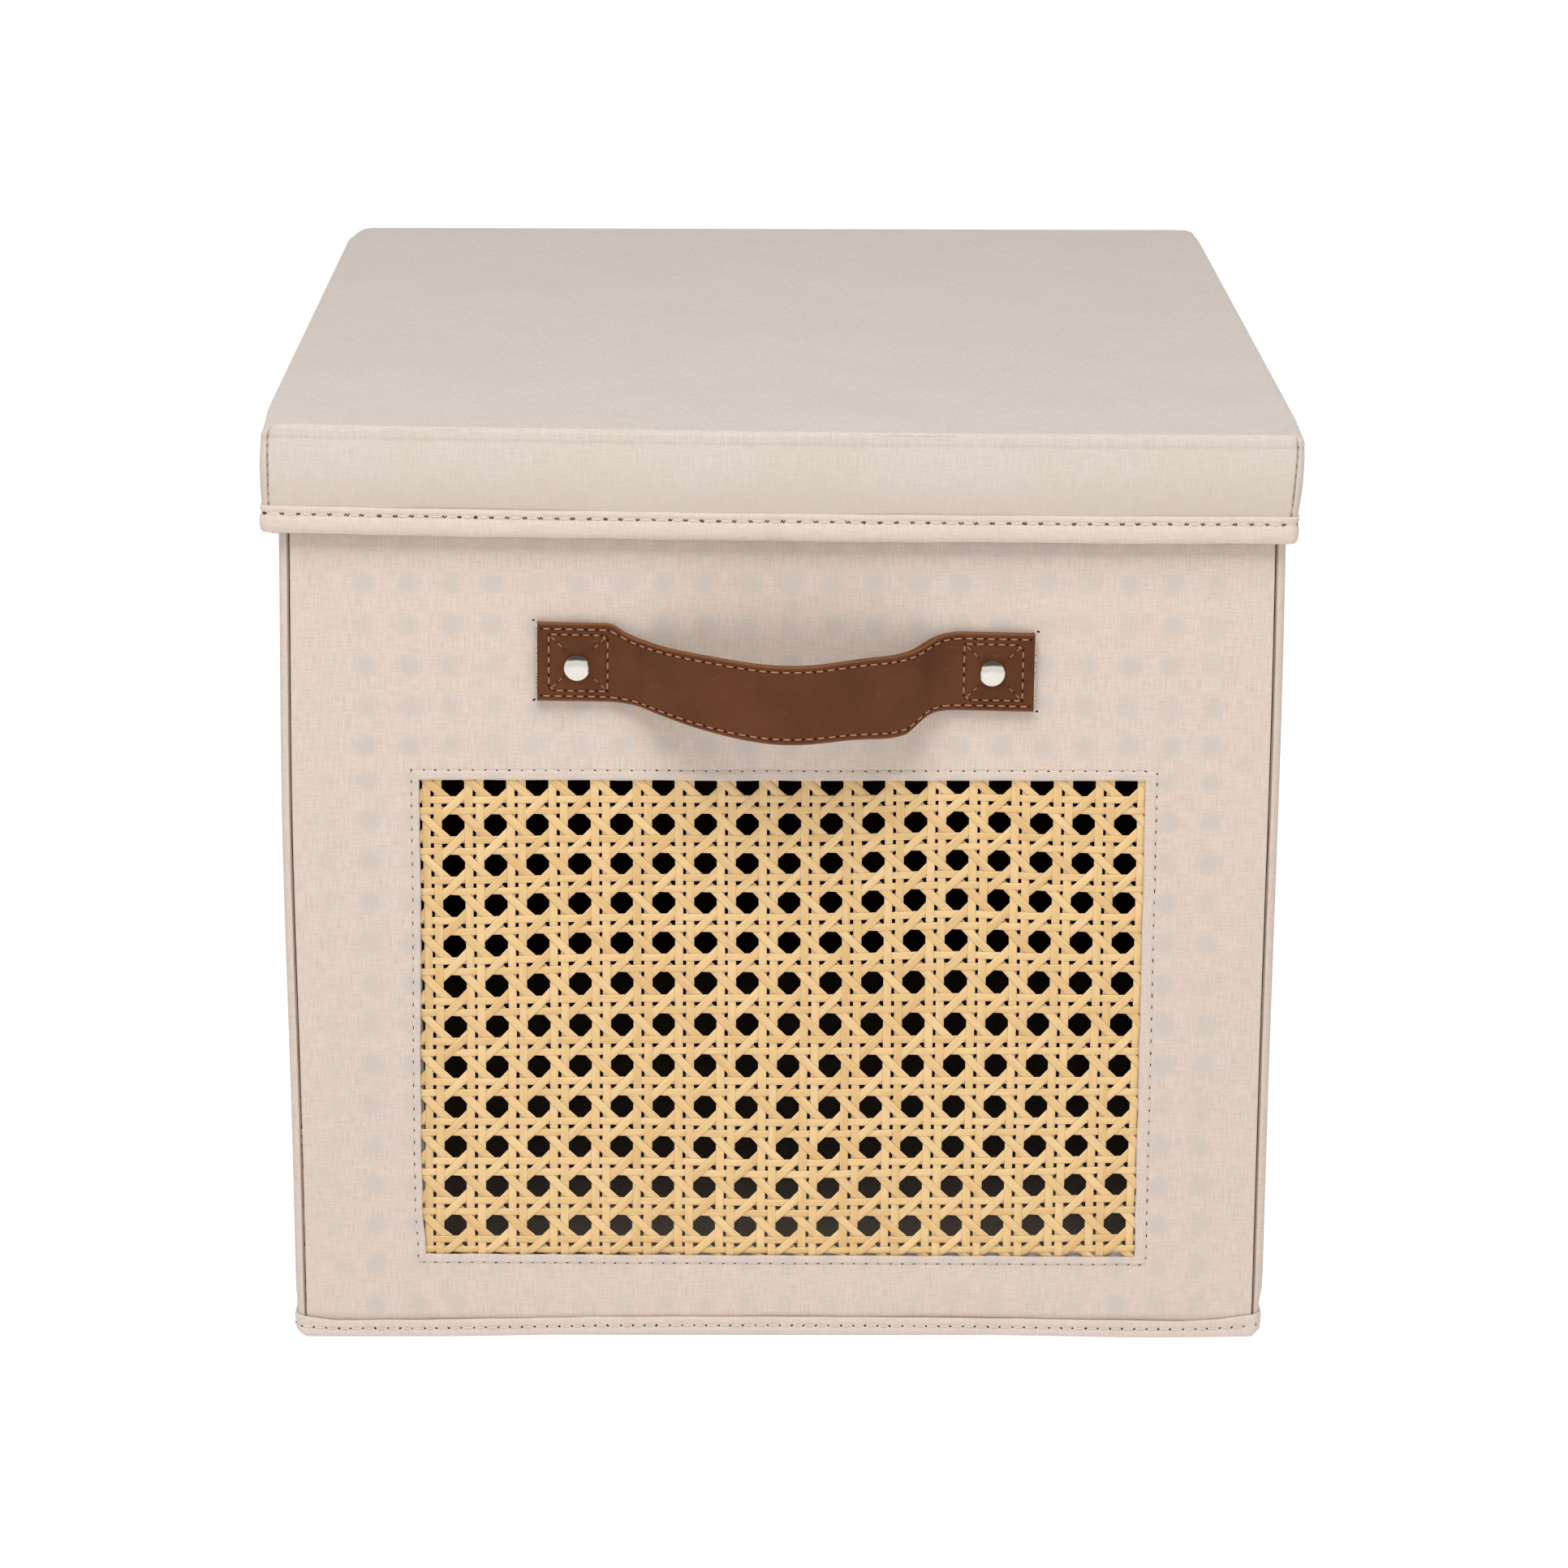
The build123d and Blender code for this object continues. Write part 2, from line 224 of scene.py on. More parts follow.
def cloth(name, points, uv, thickness, material, body, nodes, slot, size, rests_on=(),
          held="stretched", keep=None, hole=0.0):
    """A slab from a grid of points. Its flat size, the area of its hole and what it rests on are not used."""
    piece = slab(name, points, uv, thickness, material, body, nodes, slot, keep=keep)


def facing(hand, points, uv):
    """The same sheet, turned over where hand is negative, so that its outer face stays outside."""
    return (points[::-1], uv[::-1]) if hand < 0 else (points, uv)


def grid(us, vs):
    """Tables of the places across and along a sheet, and the two together as its flat shape."""
    u, v = np.meshgrid(us, vs, indexing="ij")
    return u, v, np.stack([u, v], -1)


def window_hole(us, vs, hand=1):
    """Which cells of a grid lie in the window, and the window's area. hand is -1 where the grid
    runs the other way across."""
    left, low, right, high = WINDOW
    middle_u, middle_v = hand * (us[:-1] + us[1:]) / 2, (vs[:-1] + vs[1:]) / 2
    inside = ((middle_u > left) & (middle_u < right))[:, None] & ((middle_v > low) & (middle_v < high))
    return inside, (right - left) * (high - low)


def tube_faces(count, sides, first=0, closed=False):
    """Faces of a tube of rings: ends joined when closed, otherwise capped."""
    index = np.arange(count * sides).reshape(count, sides) + first
    if closed:
        index = np.vstack([index, index[:1]])
    turned = np.roll(index, -1, axis=1)
    faces = np.stack([index[:-1], index[1:], turned[1:], turned[:-1]], axis=-1).reshape(-1, 4).tolist()
    if not closed:
        faces += [index[0].tolist(), index[-1][::-1].tolist()]
    return faces


def loft(name, rings, uv, material, body, nodes, closed=False):
    """A solid from rings of points."""
    return finish_piece(name, rings.reshape(-1, 3), tube_faces(*rings.shape[:2], closed=closed),
                        uv.reshape(-1, 2), material, body, nodes)


def grid_lines(low, high, step, features=()):
    """Places along one direction: an even spread, closer together near each feature."""
    offsets = (-7, -5.5, -4.5, -3.9, -3.6, -3.4, -3.1, -2.9, -2.7, -2.5, -2.3, -2.1, -1.8, -1.2,
               -0.6, -0.3, 0)
    places = set(np.linspace(low, high, max(2, int((high - low) / step))).round(3))
    for place, hand in features:
        places.update(round(place + hand * offset, 3) for offset in offsets)
    kept = sorted(p for p in places if low <= p <= high)
    return np.array([p for i, p in enumerate(kept) if i == 0 or p - kept[i - 1] > 0.05])


def edge_path(half_x, half_y, radius, centre_y=0.0):
    """Points and outward directions round a rounded rectangle, from the front middle."""
    count_x, count_y, corner_steps = 64, 72, 8
    legs = [((0, -half_y), (half_x - radius, -half_y), count_x // 2),
            ((half_x, radius - half_y), (half_x, half_y - radius), count_y),
            ((half_x - radius, half_y), (radius - half_x, half_y), count_x),
            ((-half_x, half_y - radius), (-half_x, radius - half_y), count_y),
            ((radius - half_x, -half_y), (0, -half_y), count_x // 2)]
    points, normals = [], []
    for leg, (a, b, count) in enumerate(legs):
        a, b = np.array(a, float), np.array(b, float)
        heading = (b - a) / np.linalg.norm(b - a)
        outward = np.array([heading[1], -heading[0]])
        for t in np.linspace(0, 1, count, endpoint=(leg == 4)):
            points.append(a + (b - a) * t)
            normals.append(outward)
        if leg < 4:
            centre = b - outward * radius
            first = math.atan2(outward[1], outward[0])
            for k in range(corner_steps):
                turn = first + math.pi / 2 * k / corner_steps
                ray = np.array([math.cos(turn), math.sin(turn)])
                points.append(centre + ray * radius)
                normals.append(ray)
    points = np.array(points[:-1]) + np.array([0, centre_y])
    return points, np.array(normals[:-1])


def beside(path, out, height):
    """A line outside a path, at a height, and its outward directions."""
    points, normals = path
    flat = np.zeros(len(points))
    return (np.column_stack([points + normals * np.reshape(out, (-1, 1)), flat + height]),
            np.column_stack([normals, flat]))


def path_lengths(points):
    """Length along a closed line of points, at each point, and its whole length."""
    gaps = np.linalg.norm(np.roll(points, -1, axis=0) - points, axis=1)
    return np.concatenate([[0], np.cumsum(gaps)])[:-1], gaps.sum()


def wrapped_edge(hand, half_x, half_y, radius, wrap, step):
    """The plan line of a side cover, from its front seam round the side to its back seam."""
    centre_x, centre_y = half_x - radius, half_y - radius
    line = [((half_x - wrap, -half_y), (0, -1))] if wrap > radius else []
    start = math.asin(min(1.0, max(0.0, (radius - wrap) / radius)))
    for turn in np.linspace(start, math.pi / 2, 9):
        ray = (math.sin(turn), -math.cos(turn))
        line.append(((centre_x + radius * ray[0], -centre_y + radius * ray[1]), ray))
    for y in np.arange(-centre_y + step, centre_y - step / 2, step):
        line.append(((half_x, y), (1, 0)))
    line += [((x, -y), (nx, -ny)) for (x, y), (nx, ny) in
             [entry for entry in line if entry[0][1] <= -centre_y + 1e-6][::-1]]
    points = np.array([[hand * p[0], p[1]] for p, n in line])
    normals = np.array([[hand * n[0], n[1]] for p, n in line])
    lengths = np.concatenate([[0], np.cumsum(np.linalg.norm(np.diff(points, axis=0), axis=1))])
    return points, normals, lengths


# ---------------------------------------------------------------- threads
def thread_run(name, holes, normals, radius, material, body, nodes=(), gap=0.25, closed=False, lift=0.55):
    """One line of stitches: a short dipping tube of thread from each needle hole to the next."""
    count = len(holes) if closed else len(holes) - 1
    start, up = holes[:count], normals[:count]
    end = np.roll(holes, -1, axis=0)[:count]
    run = end - start
    length = np.linalg.norm(run, axis=1, keepdims=True)
    run = run / length
    across = np.cross(run, up)
    sides = 6
    shares = np.array([0.0, 0.12, 0.3, 0.5, 0.7, 0.88, 1.0])
    heights = np.array([-1.3, 0.1, lift, lift + 0.1, lift, 0.1, -1.3]) * radius
    widths = np.array([0.45, 0.8, 1.0, 1.05, 1.0, 0.8, 0.45]) * radius
    points = []
    for share, height, width in zip(shares, heights, widths):
        middle = start + run * (gap + (length - 2 * gap) * share) + up * height
        for k in range(sides):
            turn = math.tau * k / sides
            points.append(middle + across * (width * math.cos(turn)) + up * (width * 0.8 * math.sin(turn)))
    rings = np.array(points).reshape(len(shares), sides, count, 3).transpose(2, 0, 1, 3)
    index = np.arange(len(shares) * sides).reshape(len(shares), sides)
    turned = np.roll(index, -1, axis=1)
    shell = np.stack([index[:-1], turned[:-1], turned[1:], index[1:]], axis=-1).reshape(-1, 4)
    faces = []
    for stitch in range(count):
        base = stitch * len(shares) * sides
        faces += (shell + base).tolist()
        faces += [(index[0][::-1] + base).tolist(), (index[-1] + base).tolist()]
    along = np.repeat(np.tile(shares, count) + np.repeat(np.arange(count), len(shares)), sides)
    round_it = np.tile(np.arange(sides) / sides, count * len(shares))
    finish_piece(name, rings.reshape(-1, 3), faces, np.stack([round_it, along], axis=1), material, body,
                 nodes)


def needle_hole_shades(name, holes, normals, alongs, size, body, seed):
    """Painted shade at the needle holes: small dark patches where the needle went through, each a little
    different.
    """
    draw = random.Random(seed)
    points, faces = [], []
    sides = 8
    for hole, up, along in zip(holes, normals, alongs):
        across = np.cross(up, along)
        wide = size * draw.uniform(0.8, 1.25)
        tall = size * draw.uniform(0.6, 0.95)
        lean = draw.uniform(-0.6, 0.6)
        base = len(points)
        for k in range(sides):
            turn = math.tau * k / sides
            a = wide * math.cos(turn)
            b = tall * math.sin(turn) + lean * a
            points.append(hole + along * a + across / np.linalg.norm(across) * b)
        points += [hole + up * 0.05, hole - up * 0.15]
        for k in range(sides):
            after = (k + 1) % sides
            faces += [(base + k, base + after, base + sides), (base + after, base + k, base + sides + 1)]
    finish_piece(name, points, faces, None, HOLE_SHADE, body, ())


def along_line(points, normals, pitch, seed, closed=False):
    """Needle holes every pitch along a line of points, with their normals and directions."""
    draw = random.Random(seed)
    if closed:
        points = np.vstack([points, points[:1]])
        normals = np.vstack([normals, normals[:1]])
    lengths = np.concatenate([[0], np.cumsum(np.linalg.norm(np.diff(points, axis=0), axis=1))])
    count = max(2, round(lengths[-1] / pitch))
    places = np.linspace(0, lengths[-1], count + 1)
    places = places[:-1] if closed else places
    shaken = places + np.array([draw.uniform(-1, 1) for _ in places]) * pitch * NEEDLE_JITTER
    shaken = np.clip(shaken, 0, lengths[-1])
    found = np.stack([np.interp(shaken, lengths, points[:, k]) for k in range(3)], axis=1)
    raised = np.stack([np.interp(shaken, lengths, normals[:, k]) for k in range(3)], axis=1)
    raised /= np.linalg.norm(raised, axis=1, keepdims=True)
    ahead = np.roll(found, -1, axis=0) - found
    if not closed:
        ahead[-1] = ahead[-2]
    ahead /= np.linalg.norm(ahead, axis=1, keepdims=True)
    return found, raised, ahead


def stitch(name, line, outward, pitch, seed, radius, gap, body, nodes=(), lift=0.55):
    """Pale stitches all the way along a closed line. Gives their holes, normals and directions."""
    holes, normals, alongs = along_line(line, outward, pitch, seed, closed=True)
    thread_run(name, holes, normals, radius, PALE_THREAD, body, nodes, gap=gap, closed=True, lift=lift)
    return holes, normals, alongs


# ---------------------------------------------------------------- materials
def linear(red, green, blue):
    """A colour given as it looks, 0 to 255, turned to the linear light that shaders use."""
    return tuple((c / 255 / 12.92) if c < 10.3 else ((c / 255 + 0.055) / 1.055) ** 2.4
                 for c in (red, green, blue)) + (1.0,)


class Shader:
    """A material under construction: a Principled shader and short ways to add nodes."""

    def __init__(self, name, roughness, **sockets):
        self.material = bpy.data.materials.new(name)
        self.material.use_nodes = True
        self.nodes = self.material.node_tree.nodes
        self.links = self.material.node_tree.links
        self.surface = self.nodes["Principled BSDF"]
        self.surface.inputs["Roughness"].default_value = roughness
        for socket, value in sockets.items():
            self.surface.inputs[socket.replace("_", " ")].default_value = value

    def put(self, socket, value):
        """Link a socket to another, or set its value."""
        if isinstance(value, bpy.types.NodeSocket):
            self.links.new(value, socket)
        else:
            socket.default_value = value

    def node(self, kind, *inputs, **settings):
        """Add a node: its settings by name, its inputs in their order."""
        node = self.nodes.new(kind)
        for key, value in settings.items():
            setattr(node, key, value)
        for place, value in enumerate(inputs):
            if value is not None:
                self.put(node.inputs[place], value)
        return node

    def maths(self, operation, *values):
        return self.node("ShaderNodeMath", *values, operation=operation).outputs[0]

    def plus(self, a, b):
        return self.maths("ADD", a, b)

    def minus(self, a, b):
        return self.maths("SUBTRACT", a, b)

    def times(self, a, b):
        return self.maths("MULTIPLY", a, b)

    def stretched(self, vector, *factors):
        """A vector with each part times its own factor, which stretches a pattern."""
        return self.node("ShaderNodeVectorMath", vector, factors, operation="MULTIPLY").outputs[0]

    def parts(self, vector):
        """The first two parts of a vector."""
        split = self.node("ShaderNodeSeparateXYZ", vector)
        return split.outputs[0], split.outputs[1]

    def place(self):
        """The place on the piece, in metres."""
        return self.node("ShaderNodeNewGeometry").outputs["Position"]

    def between(self, value, low, high, to_low=0.0, to_high=1.0, smooth=True):
        """to_low where the value is at low, to_high where it is at high, and a rise between."""
        kind = "SMOOTHSTEP" if smooth else "LINEAR"
        return self.node("ShaderNodeMapRange", value, low, high, to_low, to_high,
                         interpolation_type=kind).outputs[0]

    def noise(self, vector, scale, detail=2.0, roughness=0.5):
        node = self.node("ShaderNodeTexNoise", vector)
        node.inputs["Scale"].default_value = scale
        node.inputs["Detail"].default_value = detail
        node.inputs["Roughness"].default_value = roughness
        return node.outputs["Fac"]

    def mix(self, share, a, b):
        """Colour a where the share is 0, and colour b where it is 1."""
        node = self.node("ShaderNodeMix", data_type="RGBA")
        self.put(node.inputs["Factor"], share)
        self.put(node.inputs[6], a)
        self.put(node.inputs[7], b)
        return node.outputs[2]

    def bump(self, height, strength, distance):
        node = self.node("ShaderNodeBump")
        node.inputs["Strength"].default_value = strength
        node.inputs["Distance"].default_value = distance
        self.links.new(height, node.inputs["Height"])
        self.links.new(node.outputs["Normal"], self.surface.inputs["Normal"])

    def colour(self, value):
        self.put(self.surface.inputs["Base Color"], value)

    def flat_uv(self):
        """The piece's own sheet coordinates, in millimetres."""
        return self.node("ShaderNodeUVMap", uv_map="UVMap").outputs[0]


def woven(name, light, dark, warm, dots=False, coarse=1.0, roughness=0.88, painted_shade=None):
    """Plain-weave cloth: crossing threads of uneven thickness, soft mottling, a little sheen.
    The last argument paints shade: a lower height, an upper height and a darker tone; the cloth darkens
    towards that tone from the upper height down to the lower."""
    s = Shader(name, roughness, Sheen_Weight=0.12, Sheen_Roughness=0.5, Specular_IOR_Level=0.2)
    uv = s.flat_uv()
    along_u, along_v = s.parts(uv)
    across = s.noise(s.stretched(uv, 2.4 / coarse, 0.16, 1.0), 1.0, 3.0, 0.6)
    upward = s.noise(s.stretched(uv, 0.16, 2.4 / coarse, 1.0), 1.0, 3.0, 0.6)
    fine = s.noise(s.stretched(uv, 3.1 / coarse, 3.1 / coarse, 1.0), 1.0, 2.0, 0.6)
    waves = [s.maths("SINE", s.times(along, math.tau / (0.9 * coarse))) for along in (along_u, along_v)]
    threads = s.plus(s.plus(across, upward), s.times(fine, 0.6))
    tone = s.mix(s.between(s.noise(uv, 0.028, 3.0, 0.55), 0.35, 0.68), light, warm)
    tone = s.mix(s.between(threads, 1.5, 1.0, 0.0, 0.55), tone, dark)
    if dots:
        tone = webbing_shadow(s, uv, tone)
    # painted shade: the cloth darkens towards the lower height, standing in for the shade on a surface that
    # faces down
    if painted_shade:
        low, high, shaded_tone = painted_shade
        tone = s.mix(s.between(along_v, high, low), tone, s.mix(0.25, shaded_tone, tone))
    s.colour(tone)
    s.bump(s.plus(threads, s.times(s.times(*waves), 0.22)), 0.32, 0.00012)
    return s.material


def webbing_shadow(s, uv, tone):
    """The webbing behind a thin cloth: its holes show through as soft cool dots."""
    x, level = s.parts(uv)
    slack = s.plus(s.between(level, DOT_FOLD - 17, DOT_FOLD, 0.0, 0.218),
                   s.between(level, DOT_FOLD, DOT_FOLD + 60, 0.0, 0.168, smooth=False))
    column = s.maths("DIVIDE", s.minus(x, CANE_X), CANE_PITCH_X)
    row = s.plus(s.maths("DIVIDE", s.minus(level, CANE_Z), CANE_PITCH_Z), slack)
    across, upward = (s.minus(s.maths("FRACT", s.plus(count, 0.5)), 0.5) for count in (column, row))
    away = s.maths("SQRT", s.plus(s.times(across, across), s.times(upward, upward)))
    ragged = s.plus(away, s.times(s.minus(s.noise(uv, 0.35), 0.5), 0.12))
    dot = s.between(ragged, 0.40, 0.10)
    faint = s.between(s.noise(uv, 0.05, 1.0), 0.34, 0.62, 0.45, 0.85)
    aside = s.maths("ABSOLUTE", x)
    inside_seams = s.between(aside, 126.0, 142.0, 1.0, 0.15)
    clear_of_lid = s.between(level, 240.0, 249.0, 1.0, 0.6)
    below_window = s.times(s.between(level, 27.0, 23.0), s.between(aside, 106.0, 92.0))
    strength = s.times(s.times(inside_seams, clear_of_lid),
                       s.between(below_window, 0.0, 1.0, 1.0, 0.45, smooth=False))
    return s.mix(s.times(s.times(dot, faint), strength), tone, linear(196, 186, 179))


def thread_material(name, colour, shade):
    """Twisted sewing thread."""
    s = Shader(name, 0.7, Sheen_Weight=0.2)
    turn, along = s.parts(s.flat_uv())
    twist = s.maths("SINE", s.plus(s.times(turn, math.tau * 2), s.times(along, 34.0)))
    s.colour(s.mix(s.between(twist, -1.0, 1.0, 0.0, 0.6), colour, shade))
    s.bump(twist, 0.3, 0.00005)
    return s.material


def hole_shade_material():
    """Painted shade: the dark colour that stands for the shadow inside a needle hole."""
    s = Shader("needle_hole", 0.95, Specular_IOR_Level=0.0)
    s.colour(s.mix(s.noise(s.place(), 900.0), linear(58, 44, 36), linear(22, 15, 11)))
    return s.material


def cane_material():
    """Split cane: straw coloured, fine fibres along the strand, a pale painted highlight near each edge and a
    dark painted shade line at the very edge.
    """
    s = Shader("split_cane", 0.5, Specular_IOR_Level=0.35)
    uv = s.flat_uv()
    across = s.maths("ABSOLUTE", s.minus(s.maths("FRACT", s.parts(uv)[0]), 0.5))
    fibre = s.noise(s.stretched(uv, 22.0, 0.14, 1.0), 1.0, 3.0, 0.65)
    whole_number = s.node("ShaderNodeVectorMath", uv, operation="FLOOR").outputs[0]
    strand = s.noise(s.stretched(whole_number, 3.7, 0.0, 1.0), 1.0, 0.0)
    stretch = s.noise(s.stretched(uv, 1.0, 0.045, 1.0), 1.0, 2.0)
    tone = s.mix(s.between(strand, 0.3, 0.7), linear(230, 194, 138), linear(217, 178, 120))
    for value, low, high, most, shade in ((stretch, 0.42, 0.72, 0.45, (238, 209, 160)),
                                          (fibre, 0.56, 0.3, 0.4, (184, 138, 82)),
                                          # painted light: a pale painted highlight near each edge of the
                                          # strand, then a dark line of painted shade at its very edge
                                          (across, 0.36, 0.43, 0.6, (244, 224, 184)),
                                          (across, 0.445, 0.475, 0.7, (170, 124, 72))):
        tone = s.mix(s.between(value, low, high, 0.0, most), tone, linear(*shade))
    s.colour(tone)
    s.bump(fibre, 0.25, 0.00006)
    return s.material


def leather_material():
    """Brown leather-look ply: fine grain, soft creases and lighter cut edges."""
    s = Shader("strap_leather", 0.46, Specular_IOR_Level=0.24)
    height = s.parts(s.flat_uv())[1]
    place = s.place()
    grain = s.node("ShaderNodeTexVoronoi", place)
    grain.inputs["Scale"].default_value = 2600.0
    pores = s.noise(place, 3800.0, 2.0)
    rub = s.noise(s.stretched(place, 1.0, 1.0, 2.2), 260.0, 3.0, 0.6)
    tone = s.mix(s.between(s.noise(place, 60.0, 3.0), 0.35, 0.68), linear(82, 40, 8), linear(92, 48, 12))
    tone = s.mix(s.between(rub, 0.6, 0.8, 0.0, 0.25), tone, linear(136, 92, 62))
    tone = s.mix(s.between(pores, 0.42, 0.3, 0.0, 0.35), tone, linear(70, 38, 24))
    rim = s.between(s.maths("ABSOLUTE", height), STRAP_HALF - 0.75, STRAP_HALF - 0.15, 0.0, 0.6)
    s.colour(s.mix(rim, tone, linear(142, 96, 66)))
    s.bump(s.plus(s.times(grain.outputs["Distance"], 0.7), pores), 0.22, 0.00009)
    return s.material


def raw_edge_material():
    """The pale woven backing that shows at the strap's cut ends."""
    s = Shader("raw_backing", 0.9, Sheen_Weight=0.1)
    strands = s.noise(s.stretched(s.place(), 1.0, 1.0, 5.0), 900.0, 3.0, 0.7)
    s.colour(s.mix(s.between(strands, 0.4, 0.62), linear(232, 220, 208), linear(150, 124, 104)))
    s.bump(strands, 0.5, 0.0001)
    return s.material


def metal_material():
    """Bright nickel with a very slight brushed haze."""
    s = Shader("bright_nickel", 0.1, Metallic=1.0)
    haze = s.noise(s.stretched(s.place(), 9.0, 9.0, 1.0), 600.0, 3.0)
    s.colour(s.mix(haze, linear(226, 222, 214), linear(212, 207, 198)))
    s.put(s.surface.inputs["Roughness"], s.between(haze, 0.3, 0.7, 0.07, 0.16))
    s.bump(haze, 0.02, 0.00003)
    return s.material


def board_material():
    """Grey pulp board with flecks."""
    s = Shader("grey_board", 0.93)
    place = s.place()
    fleck = s.noise(place, 700.0, 4.0, 0.7)
    cloud = s.noise(place, 40.0, 2.0)
    tone = s.mix(cloud, linear(148, 138, 124), linear(166, 156, 142))
    s.colour(s.mix(s.between(fleck, 0.62, 0.72, 0.0, 0.6), tone, linear(104, 94, 82)))
    s.bump(fleck, 0.3, 0.0001)
    return s.material


# ---------------------------------------------------------------- camera and light
def make_camera():
    """A long lens a little above the bin, in front of its middle."""
    pitch, yaw, roll = (math.radians(angle) for angle in CAMERA_ANGLES)
    ahead = Vector((math.sin(yaw) * math.cos(pitch), math.cos(yaw) * math.cos(pitch), -math.sin(pitch)))
    right = Vector((math.cos(yaw), -math.sin(yaw), 0))
    down = ahead.cross(right)
    right, down = (math.cos(roll) * right + math.sin(roll) * down,
                   math.cos(roll) * down - math.sin(roll) * right)
    turn = Matrix((right, -down, -ahead)).transposed().to_4x4()
    data = bpy.data.cameras.new("camera")
    data.lens = FOCAL_LENGTH
    data.sensor_width = 36.0
    data.clip_end = 50.0
    camera = bpy.data.objects.new("camera", data)
    camera.matrix_world = Matrix.Translation(CAMERA_PLACE) @ turn
    bpy.context.scene.collection.objects.link(camera)
    bpy.context.scene.camera = camera


def make_light(name, place, target, size, power):
    """A soft rectangular lamp at a place, facing a target, both in metres."""
    data = bpy.data.lights.new(name, "AREA")
    data.shape = "RECTANGLE"
    data.size, data.size_y = size
    data.energy = power
    light = bpy.data.objects.new(name, data)
    light.visible_glossy = False
    light.location = place
    light.rotation_euler = (Vector(target) - Vector(place)).to_track_quat("-Z", "Y").to_euler()
    bpy.context.scene.collection.objects.link(light)


def make_stage():
    """A plain pale floor, a white surround and soft light from the front and above."""
    mesh = bpy.data.meshes.new("floor")
    half = 8.0
    mesh.from_pydata([(-half, -half, 0), (half, -half, 0), (half, half, 0), (-half, half, 0)], [],
                     [(0, 1, 2, 3)])
    floor = bpy.data.objects.new("floor", mesh)
    bpy.context.scene.collection.objects.link(floor)
    s = Shader("pale_floor", 0.9, Specular_IOR_Level=0.0)
    s.colour((0.3, 0.3, 0.3, 1.0))
    s.surface.inputs["Emission Color"].default_value = (1.0, 1.0, 1.0, 1.0)
    s.surface.inputs["Emission Strength"].default_value = FLOOR_GLOW
    mesh.materials.append(s.material)
    world = bpy.data.worlds.new("studio")
    bpy.context.scene.world = world
    world.use_nodes = True
    nodes, links = world.node_tree.nodes, world.node_tree.links
    background = nodes["Background"]
    path = nodes.new("ShaderNodeLightPath")
    glow = nodes.new("ShaderNodeMix")
    glow.inputs["B"].default_value = BACKDROP_GLOW
    glossy = nodes.new("ShaderNodeMix")
    glossy.inputs["A"].default_value = WORLD_GLOW
    split = nodes.new("ShaderNodeSeparateXYZ")
    links.new(nodes.new("ShaderNodeTexCoord").outputs["Generated"], split.inputs[0])
    shade = nodes.new("ShaderNodeMapRange")
    shade.interpolation_type = "SMOOTHSTEP"
    for socket, value in (("From Min", 0.42), ("From Max", 0.62), ("To Min", 0.95), ("To Max", 0.1)):
        shade.inputs[socket].default_value = value
    links.new(split.outputs[2], shade.inputs["Value"])
    links.new(path.outputs["Is Glossy Ray"], glossy.inputs["Factor"])
    links.new(shade.outputs["Result"], glossy.inputs["B"])
    links.new(glossy.outputs["Result"], glow.inputs["A"])
    links.new(path.outputs["Is Camera Ray"], glow.inputs["Factor"])
    links.new(glow.outputs["Result"], background.inputs["Strength"])
    background.inputs["Color"].default_value = (1.0, 1.0, 1.0, 1.0)
    make_light("key_softbox", (-0.2, -1.2, 2.05), (0, -0.1, 0.15), (1.5, 1.1), KEY_POWER)
    make_light("front_softbox", (0.1, -2.4, 0.9), (0, 0, 0.15), (1.6, 1.2), FRONT_POWER)
    bpy.context.scene.view_settings.view_transform = "Standard"


make_camera()
make_stage()

cloth_tones = (linear(214, 199, 188), linear(184, 167, 154), linear(217, 198, 184))
FRONT_CLOTH = woven("bin_cloth_front", *cloth_tones, dots=True)
BIN_CLOTH = woven("bin_cloth", *cloth_tones)
LID_CLOTH = woven("lid_cloth", linear(212, 201, 193), linear(188, 175, 165), linear(209, 198, 190))
# the skirt cloth carries painted shade, darker towards the binding tape below it
SKIRT_CLOTH = woven("lid_skirt_cloth", linear(211, 199, 190), linear(187, 173, 162), linear(208, 196, 186),
                    painted_shade=(SKIRT_EDGE + 2, LID_TOP - 4, linear(196, 182, 171)))
# painted shade: a brown cord colour that stands for the shadow in the narrow gap of the bin's corner seams
SEAM_GAP_SHADE = thread_material("seam_gap_shade", linear(150, 126, 108), linear(112, 90, 74))
LID_SEAM_FOLD = thread_material("lid_seam_fold", linear(204, 186, 172), linear(168, 148, 132))
TAPE = woven("binding_tape", linear(217, 202, 191), linear(193, 176, 163), linear(214, 199, 188))
LINING = woven("lining_cloth", linear(92, 68, 52), linear(56, 40, 29), linear(84, 62, 46), coarse=1.3)
FACING = woven("window_facing_cloth", linear(240, 226, 218), linear(160, 142, 134), linear(230, 214, 206),
               coarse=0.8)
BASE_CLOTH = woven("base_cloth", linear(186, 170, 156), linear(150, 134, 121), linear(180, 163, 149))
PALE_THREAD = thread_material("pale_thread", linear(226, 214, 203), linear(196, 182, 169))
BROWN_THREAD = thread_material("brown_thread", linear(150, 118, 94), linear(104, 76, 56))
STRAP_THREAD = thread_material("strap_thread", linear(188, 132, 100), linear(120, 66, 42))
# painted shade for the needle holes
HOLE_SHADE = hole_shade_material()
CANE = cane_material()
LEATHER = leather_material()
RAW_EDGE = raw_edge_material()
NICKEL = metal_material()
BOARD = board_material()


# ---------------------------------------------------------------- bin body
def side_bulge(x, z):
    """The filled-out side walls push the front corners outwards, more on the left."""
    amount = np.where(x < 0, -1.2 * hill(z, 165, 75), 0.7 * hill(z, 200, 80))
    return amount * smooth_step(np.abs(x), 118, 147)


